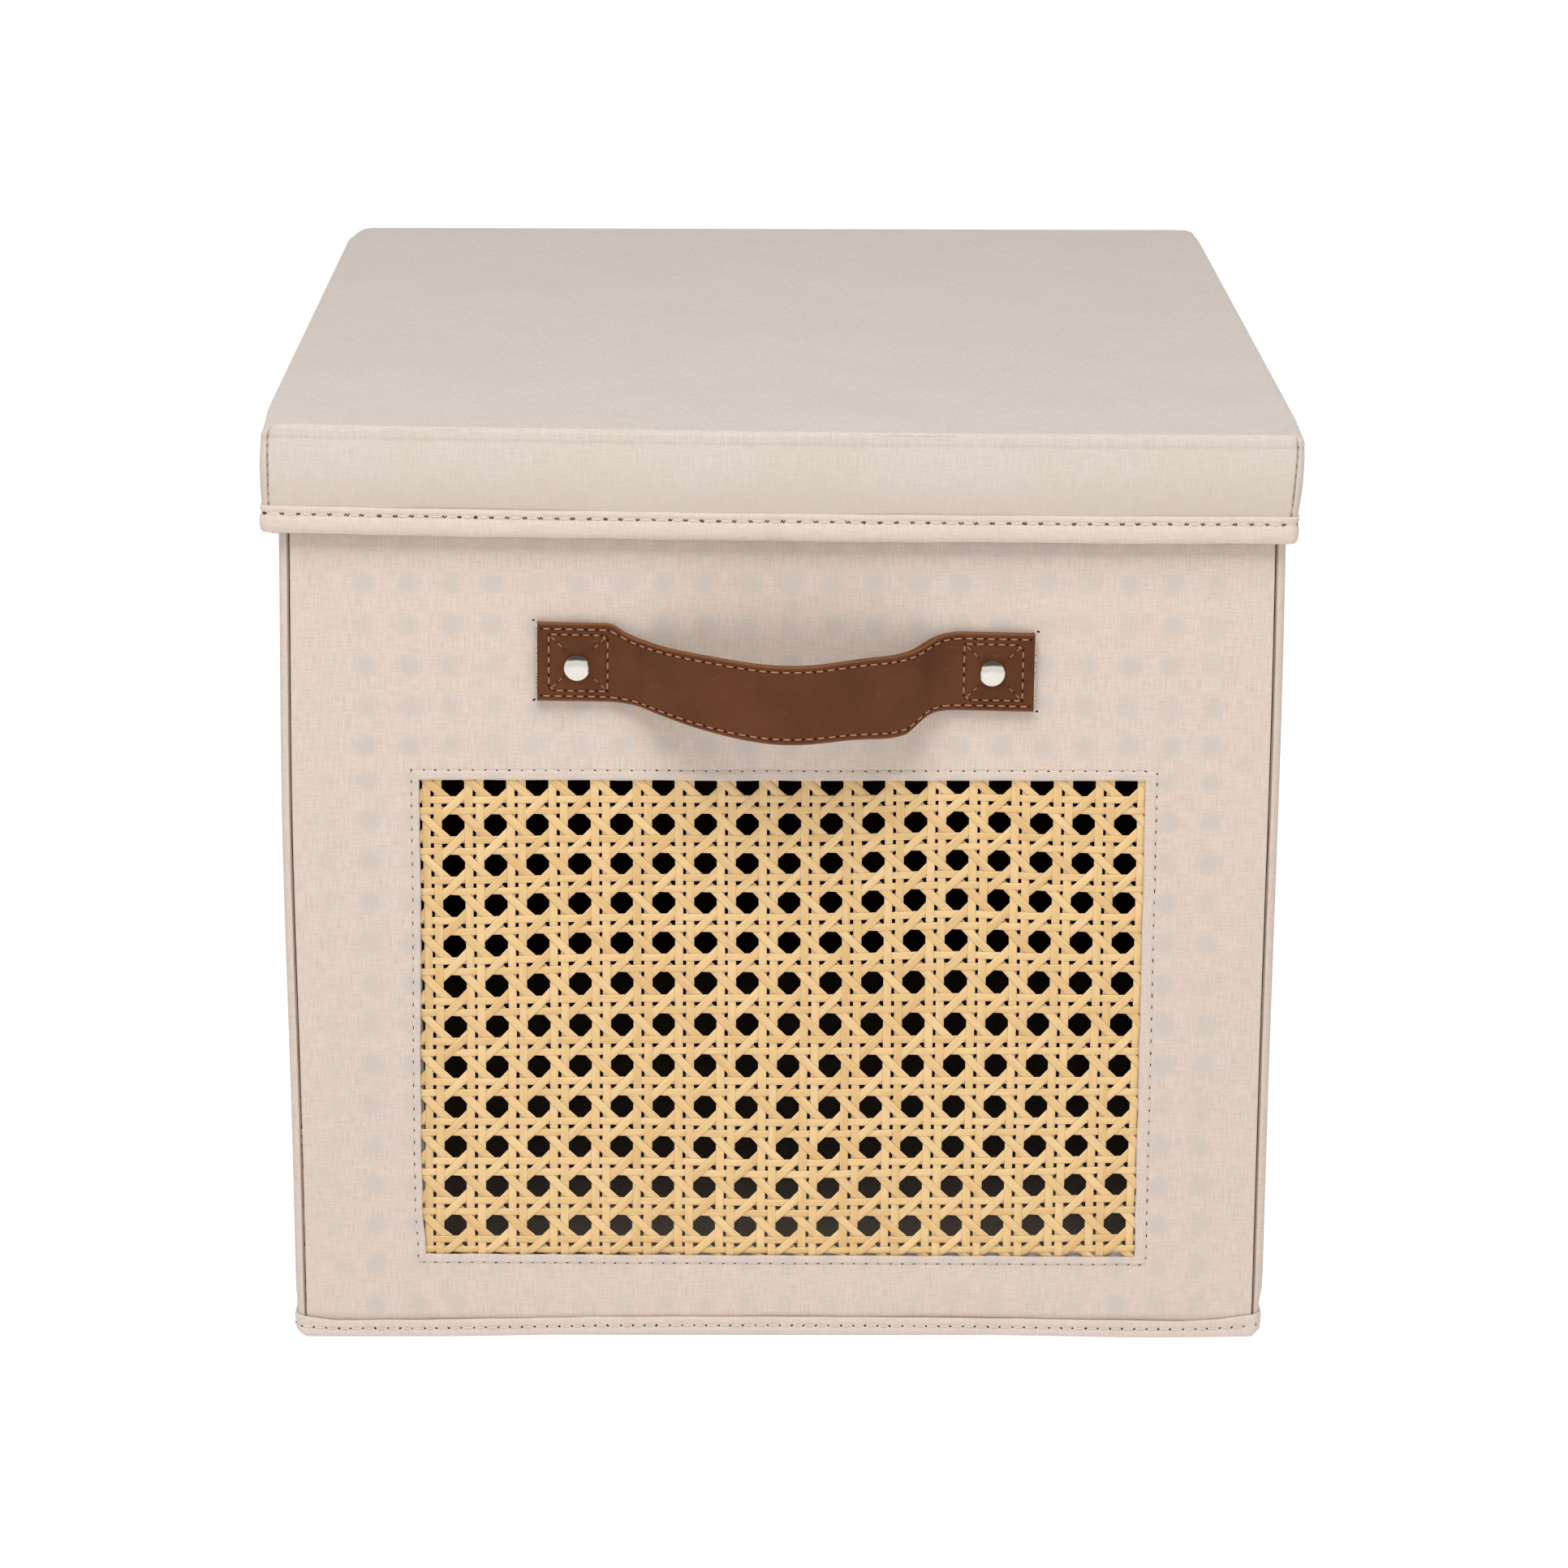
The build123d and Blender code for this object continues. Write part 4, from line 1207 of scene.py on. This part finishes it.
def lid_skirts():
    """The four skirt cloths, their stiff strips and the board under the top cloth."""
    vs = np.concatenate([np.linspace(SKIRT_EDGE, SKIRT_BAND - 0.9, 18),
                         np.linspace(SKIRT_BAND - 0.6, SKIRT_BAND + 0.6, 5),
                         np.linspace(SKIRT_BAND + 0.9, LID_TOP - 0.45, 10)])
    tall = vs[-1] - vs[0]
    reach = node_box("lid_front_cover")[1][0]
    us = np.concatenate([[-reach, -reach + 0.4, -reach + 0.9], np.linspace(-reach + 2, reach - 2, 90),
                         [reach - 0.9, reach - 0.4, reach]])
    for side, hand in ENDS:
        u, v, uv = grid(us, vs)
        proud = 0.28 * ripple(u, v, 85, 121 + hand) + 0.1 * ripple(u, v, 28, 122)
        proud = proud * smooth_step(reach - np.abs(u), 0, 10) + skirt_profile(v)
        proud = proud - 0.3 * smooth_step(np.abs(u), reach - 0.45, reach)
        skirt(side, -hand, np.stack([u, hand * (LID_Y + proud), v], -1), uv, 2 * reach, tall)
    for side, hand in SIDES:
        plan, outward, lengths = wrapped_edge(hand, LID_X, LID_Y, LID_CORNER, LID_X - reach - 0.3, 4.5)
        along, v, uv = grid(lengths, vs)
        ends = np.minimum(along, lengths[-1] - along)
        proud = 0.3 * ripple(along, v, 110, 125 + hand) * smooth_step(ends, 2, 24)
        flare = np.clip((LID_TOP - 4 - v) / (LID_TOP - 4 - SKIRT_EDGE), 0, 1)
        proud = np.abs(proud) * smooth_step(LID_TOP - v, 0, 8)
        proud = proud + SIDE_BULGE[side] * flare * np.sin(np.pi * along / lengths[-1]) ** 2
        proud = proud + skirt_profile(v) - 0.25 * (1 - smooth_step(ends, 0, 0.5))
        points = np.stack([plan[:, :1] + outward[:, :1] * proud, plan[:, 1:] + outward[:, 1:] * proud, v], -1)
        skirt(side, hand, points, uv, lengths[-1], tall)
    stiff = dict(material=BOARD, slot="stiffener", wave=0.0, body="lid", soft=False,
                 warp=lambda p: settle_lid(p) - [0, 0, 0.6])
    flat_piece("lid_stiffener", "lid_board", 2, 1, seed=131, **stiff)
    for axis, pairs in ((1, ENDS), (0, SIDES)):
        for side, hand in pairs:
            flat_piece(f"lid_{side}_stiff_strip", f"lid_{side}_strip", axis, hand, seed=132, cells=(60, 6),
                       **stiff)


def lid_seams():
    """Thread in the four corner seams and along the fold of the top edge."""
    reach = node_box("lid_front_cover")[1][0] + 0.15
    zs = np.linspace(SKIRT_EDGE + 7, LID_TOP - 2.0, 40)
    for place, hand_x, hand_y in UPRIGHT_SEAMS:
        x = hand_x * reach + 0.1 * wobble(zs, 15, 141 + hand_x)
        line = settle_lid(np.stack([x, np.full_like(zs, hand_y * (LID_Y - 0.12)), zs], 1))
        cord(f"lid_{place}_seam", line, 0.21, 142, LID_SEAM_FOLD, "lid")
        holes, normals, _ = along_line(line, np.tile([0.0, float(hand_y), 0.0], (len(line), 1)), 3.0, 143)
        thread_run(f"lid_{place}_stitches", holes + normals * 0.16, normals, 0.15, BROWN_THREAD, "lid",
                   gap=0.9)
    path = edge_path(LID_X, LID_Y, LID_CORNER)
    line, outward = beside(path, -0.22, LID_TOP - 0.5)
    stitch("lid_fold_thread", settle_lid(line), (outward + [0, 0, 1]) / math.sqrt(2), 5.0, 144, 0.17, 1.0,
           "lid", lift=0.45)


def lid_binding():
    """The padded tape folded round the lower edge of the skirts, with its stitches and dark zigzags of
    painted shade at their needle holes.
    """
    outer = edge_path(LID_X, LID_Y, LID_CORNER)
    inner_x = -node_box("lid_left_strip")[1][0] - 0.4
    inner_y = -node_box("lid_front_strip")[1][1] - 0.4
    inner = edge_path(inner_x, inner_y, 0.6)
    lengths, _ = path_lengths(outer[0])
    puff = 0.1 * wobble(lengths, 28, 151) + 0.08 * wobble(lengths, 8, 152)
    tall = np.where(outer[0][:, 0] < 0, SIDE_BULGE["left"], SIDE_BULGE["right"])
    bulge = tall * np.sin(np.pi * np.clip((outer[0][:, 1] + LID_Y) / (2 * LID_Y), 0, 1)) ** 2
    puff = puff + bulge * (np.abs(outer[1][:, 0]) > 0.5)
    low = SKIRT_BOTTOM + 0.12 * wobble(lengths, 40, 153)
    top = SKIRT_BOTTOM + TAPE_TALL + 0.12 * wobble(lengths, 22, 154)
    stitch_level = top - 2.4
    sections = [(outer, 0.02 + bulge * 0, top - 0.3), (outer, 0.3 + puff, top),
                (outer, 0.62 + puff, top - 0.35), (outer, 0.72 + puff, top - 1.1),
                (outer, 0.66 + puff, stitch_level + 0.75), (outer, 0.3 + puff, stitch_level),
                (outer, 0.72 + puff, stitch_level - 0.8), (outer, 1.0 + puff, stitch_level - 2.2),
                (outer, 1.0 + puff, low + 2.2), (outer, 0.75 + puff, low + 0.9),
                (outer, 0.2 + puff * 0.5, low + 0.2), (outer, -0.9, low), (inner, 0.4, low + 0.1),
                (inner, -0.25, low + 0.6), (inner, -0.35, low + 3), (inner, -0.3, top - 0.5),
                (inner, -0.02, top - 0.3), (inner, 0.02, low + 1.0), (outer, 0.0, low + 1.0)]
    tape_ring("lid_tape", sections, "lid", ["lid_binding"],
              warp=settle_lid)
    line, outward = beside(outer, 0.42 + puff, stitch_level)
    holes, normals, alongs = stitch("lid_tape_thread", settle_lid(line), outward, 4.8, 155, 0.26, 0.95, "lid",
                                    ["lid_stitching"])
    # dark zigzags of painted shade at the needle holes
    zigzag_hole_shades("lid_tape_needle_holes", holes + normals * 0.14, normals, alongs, 156)


def zigzag_hole_shades(name, holes, normals, alongs, seed):
    """Painted shade where the thread enters each needle hole: a small dark slanting zigzag of three or four
    strokes.
    """
    draw = random.Random(seed)
    points, faces = [], []
    for hole, up, along in zip(holes, normals, alongs):
        across = np.cross(up, along)
        strokes = draw.choice((3, 3, 4))
        wide = draw.uniform(1.1, 1.5)
        tall = draw.uniform(0.34, 0.5)
        hand = draw.choice((-1, 1))
        turns = [(wide * (k / strokes - 0.5), hand * tall * (1 if k % 2 else -1) * draw.uniform(0.7, 1.1))
                 for k in range(strokes + 1)]
        for (a0, b0), (a1, b1) in zip(turns[:-1], turns[1:]):
            heading = np.array([a1 - a0, b1 - b0])
            heading /= np.linalg.norm(heading)
            half = draw.uniform(0.08, 0.13)
            offset = np.array([-heading[1], heading[0]]) * half
            base = len(points)
            ends = [(a0, b0), (a1, b1)]
            flat = [np.array(ends[0]) - offset, np.array(ends[1]) - offset,
                    np.array(ends[1]) + offset, np.array(ends[0]) + offset]
            for depth in (0.06, -0.1):
                points += [hole + along * a + across * b + up * depth for a, b in flat]
            quads = [(0, 1, 2, 3), (7, 6, 5, 4), (0, 4, 5, 1), (1, 5, 6, 2), (2, 6, 7, 3), (3, 7, 4, 0)]
            faces += [tuple(base + k for k in quad) for quad in quads]
    finish_piece(name, points, faces, None, HOLE_SHADE, "lid", ())


def lid_lining():
    """The lid's lining: under the board, and down inside the skirts."""
    low, high = node_box("lid_lining")
    half_x, half_y, under = high
    u, v, uv = grid(np.linspace(-half_x, half_x, 50), np.linspace(-half_y, half_y, 60))
    edge = np.minimum(half_x - np.abs(u), half_y - np.abs(v))
    sag = 0.3 * np.abs(ripple(u, v, 90, 161)) * smooth_step(edge, 4, 30)
    points, uv = facing(-1, np.stack([u, v, under - 1.1 - sag], -1), uv)
    cloth("lid_lining_top", settle_lid(points), uv, LINING_CLOTH, LINING, "lid", ["lid_lining"],
          "lining_cloth", (2 * half_x, 2 * half_y), ["lid_stiffener"])
    path = edge_path(half_x, half_y, 0.5)
    top = under - 1.0
    inner = -LINING_CLOTH
    sections = [(path, 0.0, low[2]), (path, 0.0, top), (path, inner, top), (path, inner, low[2])]
    tape_ring("lid_lining_skirt", sections, "lid", (),
              warp=settle_lid, material=LINING)


# ---------------------------------------------------------------- handle
class Strap:
    """The strap's mid-line in plan, bowed out in the middle, and its tilt and droop."""
    half_length = 74.5
    half_span = 52.0
    bow = 21.0
    start_radius = 14.0
    ply = 1.3
    turn = 2 * math.atan(bow / half_span)
    big_radius = half_span / math.sin(turn) - start_radius
    flat_end = half_length - half_span
    curve = start_radius * turn
    whole = flat_end + curve + big_radius * turn


def strap_line(s):
    """Plan place and outward direction at a signed length from the strap's middle."""
    away = np.abs(s)
    hand = np.where(s < 0, -1.0, 1.0)
    crown = Strap.big_radius * Strap.turn
    angle = np.clip(away / Strap.big_radius, 0, Strap.turn)
    a = Strap.big_radius * np.sin(angle)
    d = Strap.bow - Strap.big_radius * (1 - np.cos(angle))
    second = np.clip((away - crown) / Strap.start_radius, 0, Strap.turn)
    a = a + Strap.start_radius * (np.sin(Strap.turn) - np.sin(Strap.turn - second))
    d = d - Strap.start_radius * (np.cos(Strap.turn - second) - np.cos(Strap.turn))
    a = a + np.clip(away - crown - Strap.curve, 0, None)
    slope = angle - second
    return hand * a, d, hand * np.sin(slope), np.cos(slope)


def strap_fold(a, v):
    """How far the strap folds down where it bends away from the wall, top and bottom edge apart."""
    high = np.clip(0.5 + v / (2 * STRAP_HALF), 0, 1)

    def hump(centre, inner, outer, tall):
        """A fold round one place, with its own width towards the middle and towards the end."""
        away = (a - centre) * np.sign(centre)
        return tall * np.exp(-(away / np.where(away > 0, outer, inner)) ** 2)

    top = hump(-43.0, 18.0, 8.0, 3.8) + hump(37.0, 12.0, 8.0, 3.0)
    bottom = hump(-38.0, 12.0, 10.0, 0.4) + hump(35.0, 12.0, 5.0, 4.0)
    return (top * high + bottom * (1 - high)) * (1 - smooth_step(np.abs(a), 48.5, 54))


def strap_place(s, v, out):
    """A point on the strap: length along it, height across it, and distance outwards."""
    a, d, out_a, out_d = strap_line(s)
    d_here = d + out * out_d
    across = a + out * out_a
    sag = 0.037 * d + 0.0138 * d * d
    tilt = STRAP_TILT
    up = v - sag - strap_fold(a, v)
    x = STRAP_X + across * math.cos(tilt) - up * math.sin(tilt) * 0.3
    z = STRAP_Z + across * math.sin(tilt) + up
    lean = 0.035 * v * np.clip(d / Strap.bow, 0, 1)
    y = FRONT - Strap.ply - 0.35 - d_here * 0.958 - lean
    return np.stack(np.broadcast_arrays(x, y, z), -1)


def strap_box(hand):
    """The stitched box at one end: centre and half sizes, along and across the strap."""
    middle = hand * (Strap.whole - 12.3)
    return middle, 8.8, 8.6


def strap_relief(s, v):
    """Grooves at the stitching and soft swelling between, on the front ply."""
    edge = STRAP_HALF - np.abs(v)
    end = Strap.whole - np.abs(s)
    relief = -0.5 * (1 - smooth_step(np.minimum(edge, end), -0.02, 0.7))
    relief = relief - 0.2 * np.exp(-((edge - EDGE_STITCH) / 0.35) ** 2)
    relief = relief + 0.1 * ripple(s, v, 14, 171) + 0.05 * ripple(s, v, 4.5, 172)
    for hand in (-1, 1):
        middle, half_s, half_v = strap_box(hand)
        a, b = (s - middle) / half_s, v / half_v
        ring = np.maximum(np.abs(a), np.abs(b))
        inside = 1 - smooth_step(ring, 0.86, 1.0)
        cross = np.minimum(np.abs(a - b), np.abs(a + b))
        relief = relief - 0.24 * np.exp(-((ring - 1) * half_s / 0.4) ** 2)
        relief = relief + 0.42 * inside * smooth_step(cross, 0.0, 0.5)
        relief = relief - 0.25 * inside * (1 - smooth_step(cross, 0.0, 0.12))
        rivet = np.hypot(s - middle, v)
        relief = relief - 0.25 * (1 - smooth_step(rivet, 4.0, 6.0))
    return relief


def strap_grid(spacing):
    """Places along and across a ply, closer together at its long edges."""
    limit = Strap.whole
    s = np.linspace(-limit, limit, int(2 * limit / spacing))
    v = np.concatenate([[-STRAP_HALF, -STRAP_HALF + 0.12, -STRAP_HALF + 0.35, -STRAP_HALF + 0.65],
                        np.linspace(-STRAP_HALF + 1.0, STRAP_HALF - 1.0, 46),
                        [STRAP_HALF - 0.65, STRAP_HALF - 0.35, STRAP_HALF - 0.12, STRAP_HALF]])
    return np.meshgrid(s, v, indexing="ij")


def handle():
    """Two plies of strap, a pale backing between them, edge stitching and stitched boxes."""
    s, v = strap_grid(0.45)
    relief = strap_relief(s, v)
    wave = 0.12 * wobble(s, 40, 173) * (np.abs(v) / STRAP_HALF)
    slab("strap_front", strap_place(s, v + wave, Strap.ply + relief), np.stack([s, v], -1), Strap.ply - 0.12,
         LEATHER, SWINGING, [f"handle_front_ply_{part}" for part in ("left", "grip", "right")], "strap")
    s, v = strap_grid(1.0)
    wide = STRAP_HALF * 1.004
    v = v * 1.004
    inset = np.minimum(wide - np.abs(v), Strap.whole - np.abs(s))
    thin = 0.3 * (1 - smooth_step(inset, 0, 0.5))
    slab("strap_back", strap_place(s * 0.998, v, -0.14 - thin * 1.2), np.stack([s, v], -1), Strap.ply - 0.1,
         LEATHER, SWINGING, [f"handle_back_ply_{part}" for part in ("left", "grip", "right")], "strap")
    for side, hand in SIDES:
        s, v, uv = grid(hand * (Strap.whole + np.linspace(-2.0, 0.45, 6)),
                        np.linspace(-STRAP_HALF + 0.5, STRAP_HALF - 0.5, 40))
        ragged = s + hand * 0.22 * ripple(v, s * 0, 3.0, 175 + hand)
        points = strap_place(ragged, v, 0.16)
        points = points[::-1] if hand < 0 else points
        slab(f"strap_{side}_backing", points, uv, 0.42, RAW_EDGE, SWINGING, (), "strap")
    strap_stitches()


def strap_run(name, path_s, path_v, pitch, seed, closed=False, size=0.42, radius=0.24):
    """A stitched line on the strap's face, with its needle slits."""
    path_s, path_v = np.asarray(path_s, float), np.asarray(path_v, float)
    points = strap_place(path_s, path_v, Strap.ply + strap_relief(path_s, path_v) + 0.12)
    base = strap_place(path_s, path_v, 0.0)
    outward = points - base
    outward /= np.linalg.norm(outward, axis=1, keepdims=True)
    holes, normals, alongs = along_line(points, outward, pitch, seed, closed=closed)
    thread_run(f"{name}_thread", holes, normals, radius, STRAP_THREAD, SWINGING, gap=0.55, closed=closed)
    # dark slits of painted shade at the needle holes
    needle_hole_shades(f"{name}_needle_slits", holes + normals * 0.03, normals, alongs, size, SWINGING, seed)


def strap_stitches():
    """Stitching along both long edges, round each end's box and in its cross."""
    end = Strap.whole - 1.2
    run = np.linspace(-end, end, 400)
    strap_run("strap_upper", run, np.full_like(run, STRAP_HALF - EDGE_STITCH), 3.4, 181)
    strap_run("strap_lower", run, np.full_like(run, -STRAP_HALF + EDGE_STITCH), 3.4, 182)
    shares = np.linspace(0, 1, 24)
    for side, hand in (("left", -1), ("right", 1)):
        middle, half_s, half_v = strap_box(hand)
        corners = [(-1, 1), (-1, -1), (1, -1), (1, 1), (-1, 1)]
        line_s, line_v = [], []
        for (a, b), (c, d) in zip(corners[:-1], corners[1:]):
            line_s.append(middle + half_s * (a + (c - a) * shares[:-1]))
            line_v.append(half_v * (b + (d - b) * shares[:-1]))
        strap_run(f"strap_{side}_box", np.concatenate(line_s), np.concatenate(line_v), 3.2, 183 + hand,
                  closed=True)
        for number, (a, b) in enumerate(corners[:-1]):
            reach = np.linspace(0.96, 0.5, 10)
            strap_run(f"strap_{side}_cross_{number}", middle + half_s * a * reach, half_v * b * reach, 3.6,
                      187 + number, size=0.22, radius=0.15)


def rivets():
    """Bright domed rivet caps, each on a thin flange."""
    low, high = node_box("rivet_caps")
    reach = RIVET_CAD_RADIUS
    centres = [(low[0] + reach, high[2] - reach), (high[0] - reach, low[2] + reach)]
    base = high[1]
    share = np.sin(np.linspace(0, math.pi / 2, 18))
    dome = 0.45 + 1.7 * (1 - share ** 2.6) ** 0.62
    radii = RIVET_RADIUS * np.concatenate([share * 0.95, [0.985, 1.0, 0.98, 0.6]])
    heights = np.concatenate([dome, [0.36, 0.15, -0.3, -0.4]])
    sides = 48
    points, faces = [], []
    for x, z in centres:
        start = len(points)
        points.append((x, base - heights[0], z))
        for radius, height in zip(radii[1:], heights[1:]):
            for k in range(sides):
                turn = math.tau * k / sides
                points.append((x + radius * math.cos(turn), base - height, z + radius * math.sin(turn)))
        rings = len(radii) - 1
        for k in range(sides):
            after = (k + 1) % sides
            faces.append((start, start + 1 + k, start + 1 + after))
            for ring in range(rings - 1):
                a = start + 1 + ring * sides
                faces.append((a + k, a + sides + k, a + sides + after, a + after))
        last = start + 1 + (rings - 1) * sides
        faces.append([last + k for k in range(sides)][::-1])
    finish_piece("rivet_domes", points, faces, None, NICKEL, "bin", ["rivet_caps"])


def strap_corner_marks():
    """Needle holes left in the front cloth just beyond the strap's corners, drawn as dark patches of painted
    shade.
    """
    spots = []
    for hand in (-1, 1):
        a = hand * (Strap.half_length + 1.1)
        for level in (-STRAP_HALF - 0.4, STRAP_HALF + 0.2):
            spots.append((STRAP_X + a, STRAP_Z + a * math.sin(STRAP_TILT) + level))
    flat = np.array(spots)
    holes = front_surface(flat[:, 0], flat[:, 1]) + [0, -0.05, 0]
    outward = np.tile([0.0, -1.0, 0.0], (len(holes), 1))
    along = np.tile([1.0, 0.0, 0.0], (len(holes), 1))
    needle_hole_shades("strap_corner_marks", holes, outward, along, 0.42, "bin", 191)


front_cover()
back_cover()
side_covers()
window_stitches()
bin_seams()
cane_webbing()
facing_strip()
bottom_binding()
rim_binding()
bin_inside()
base_panel()
lid_top()
lid_skirts()
lid_seams()
lid_binding()
lid_lining()
handle()
rivets()
strap_corner_marks()
# CAD nodes that no piece stands for stay in view with their own material
for name in ("back_board", "front_board", "base_board"):
    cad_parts[name].material_slots[0].material = BOARD
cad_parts["rivet_backs"].material_slots[0].material = NICKEL
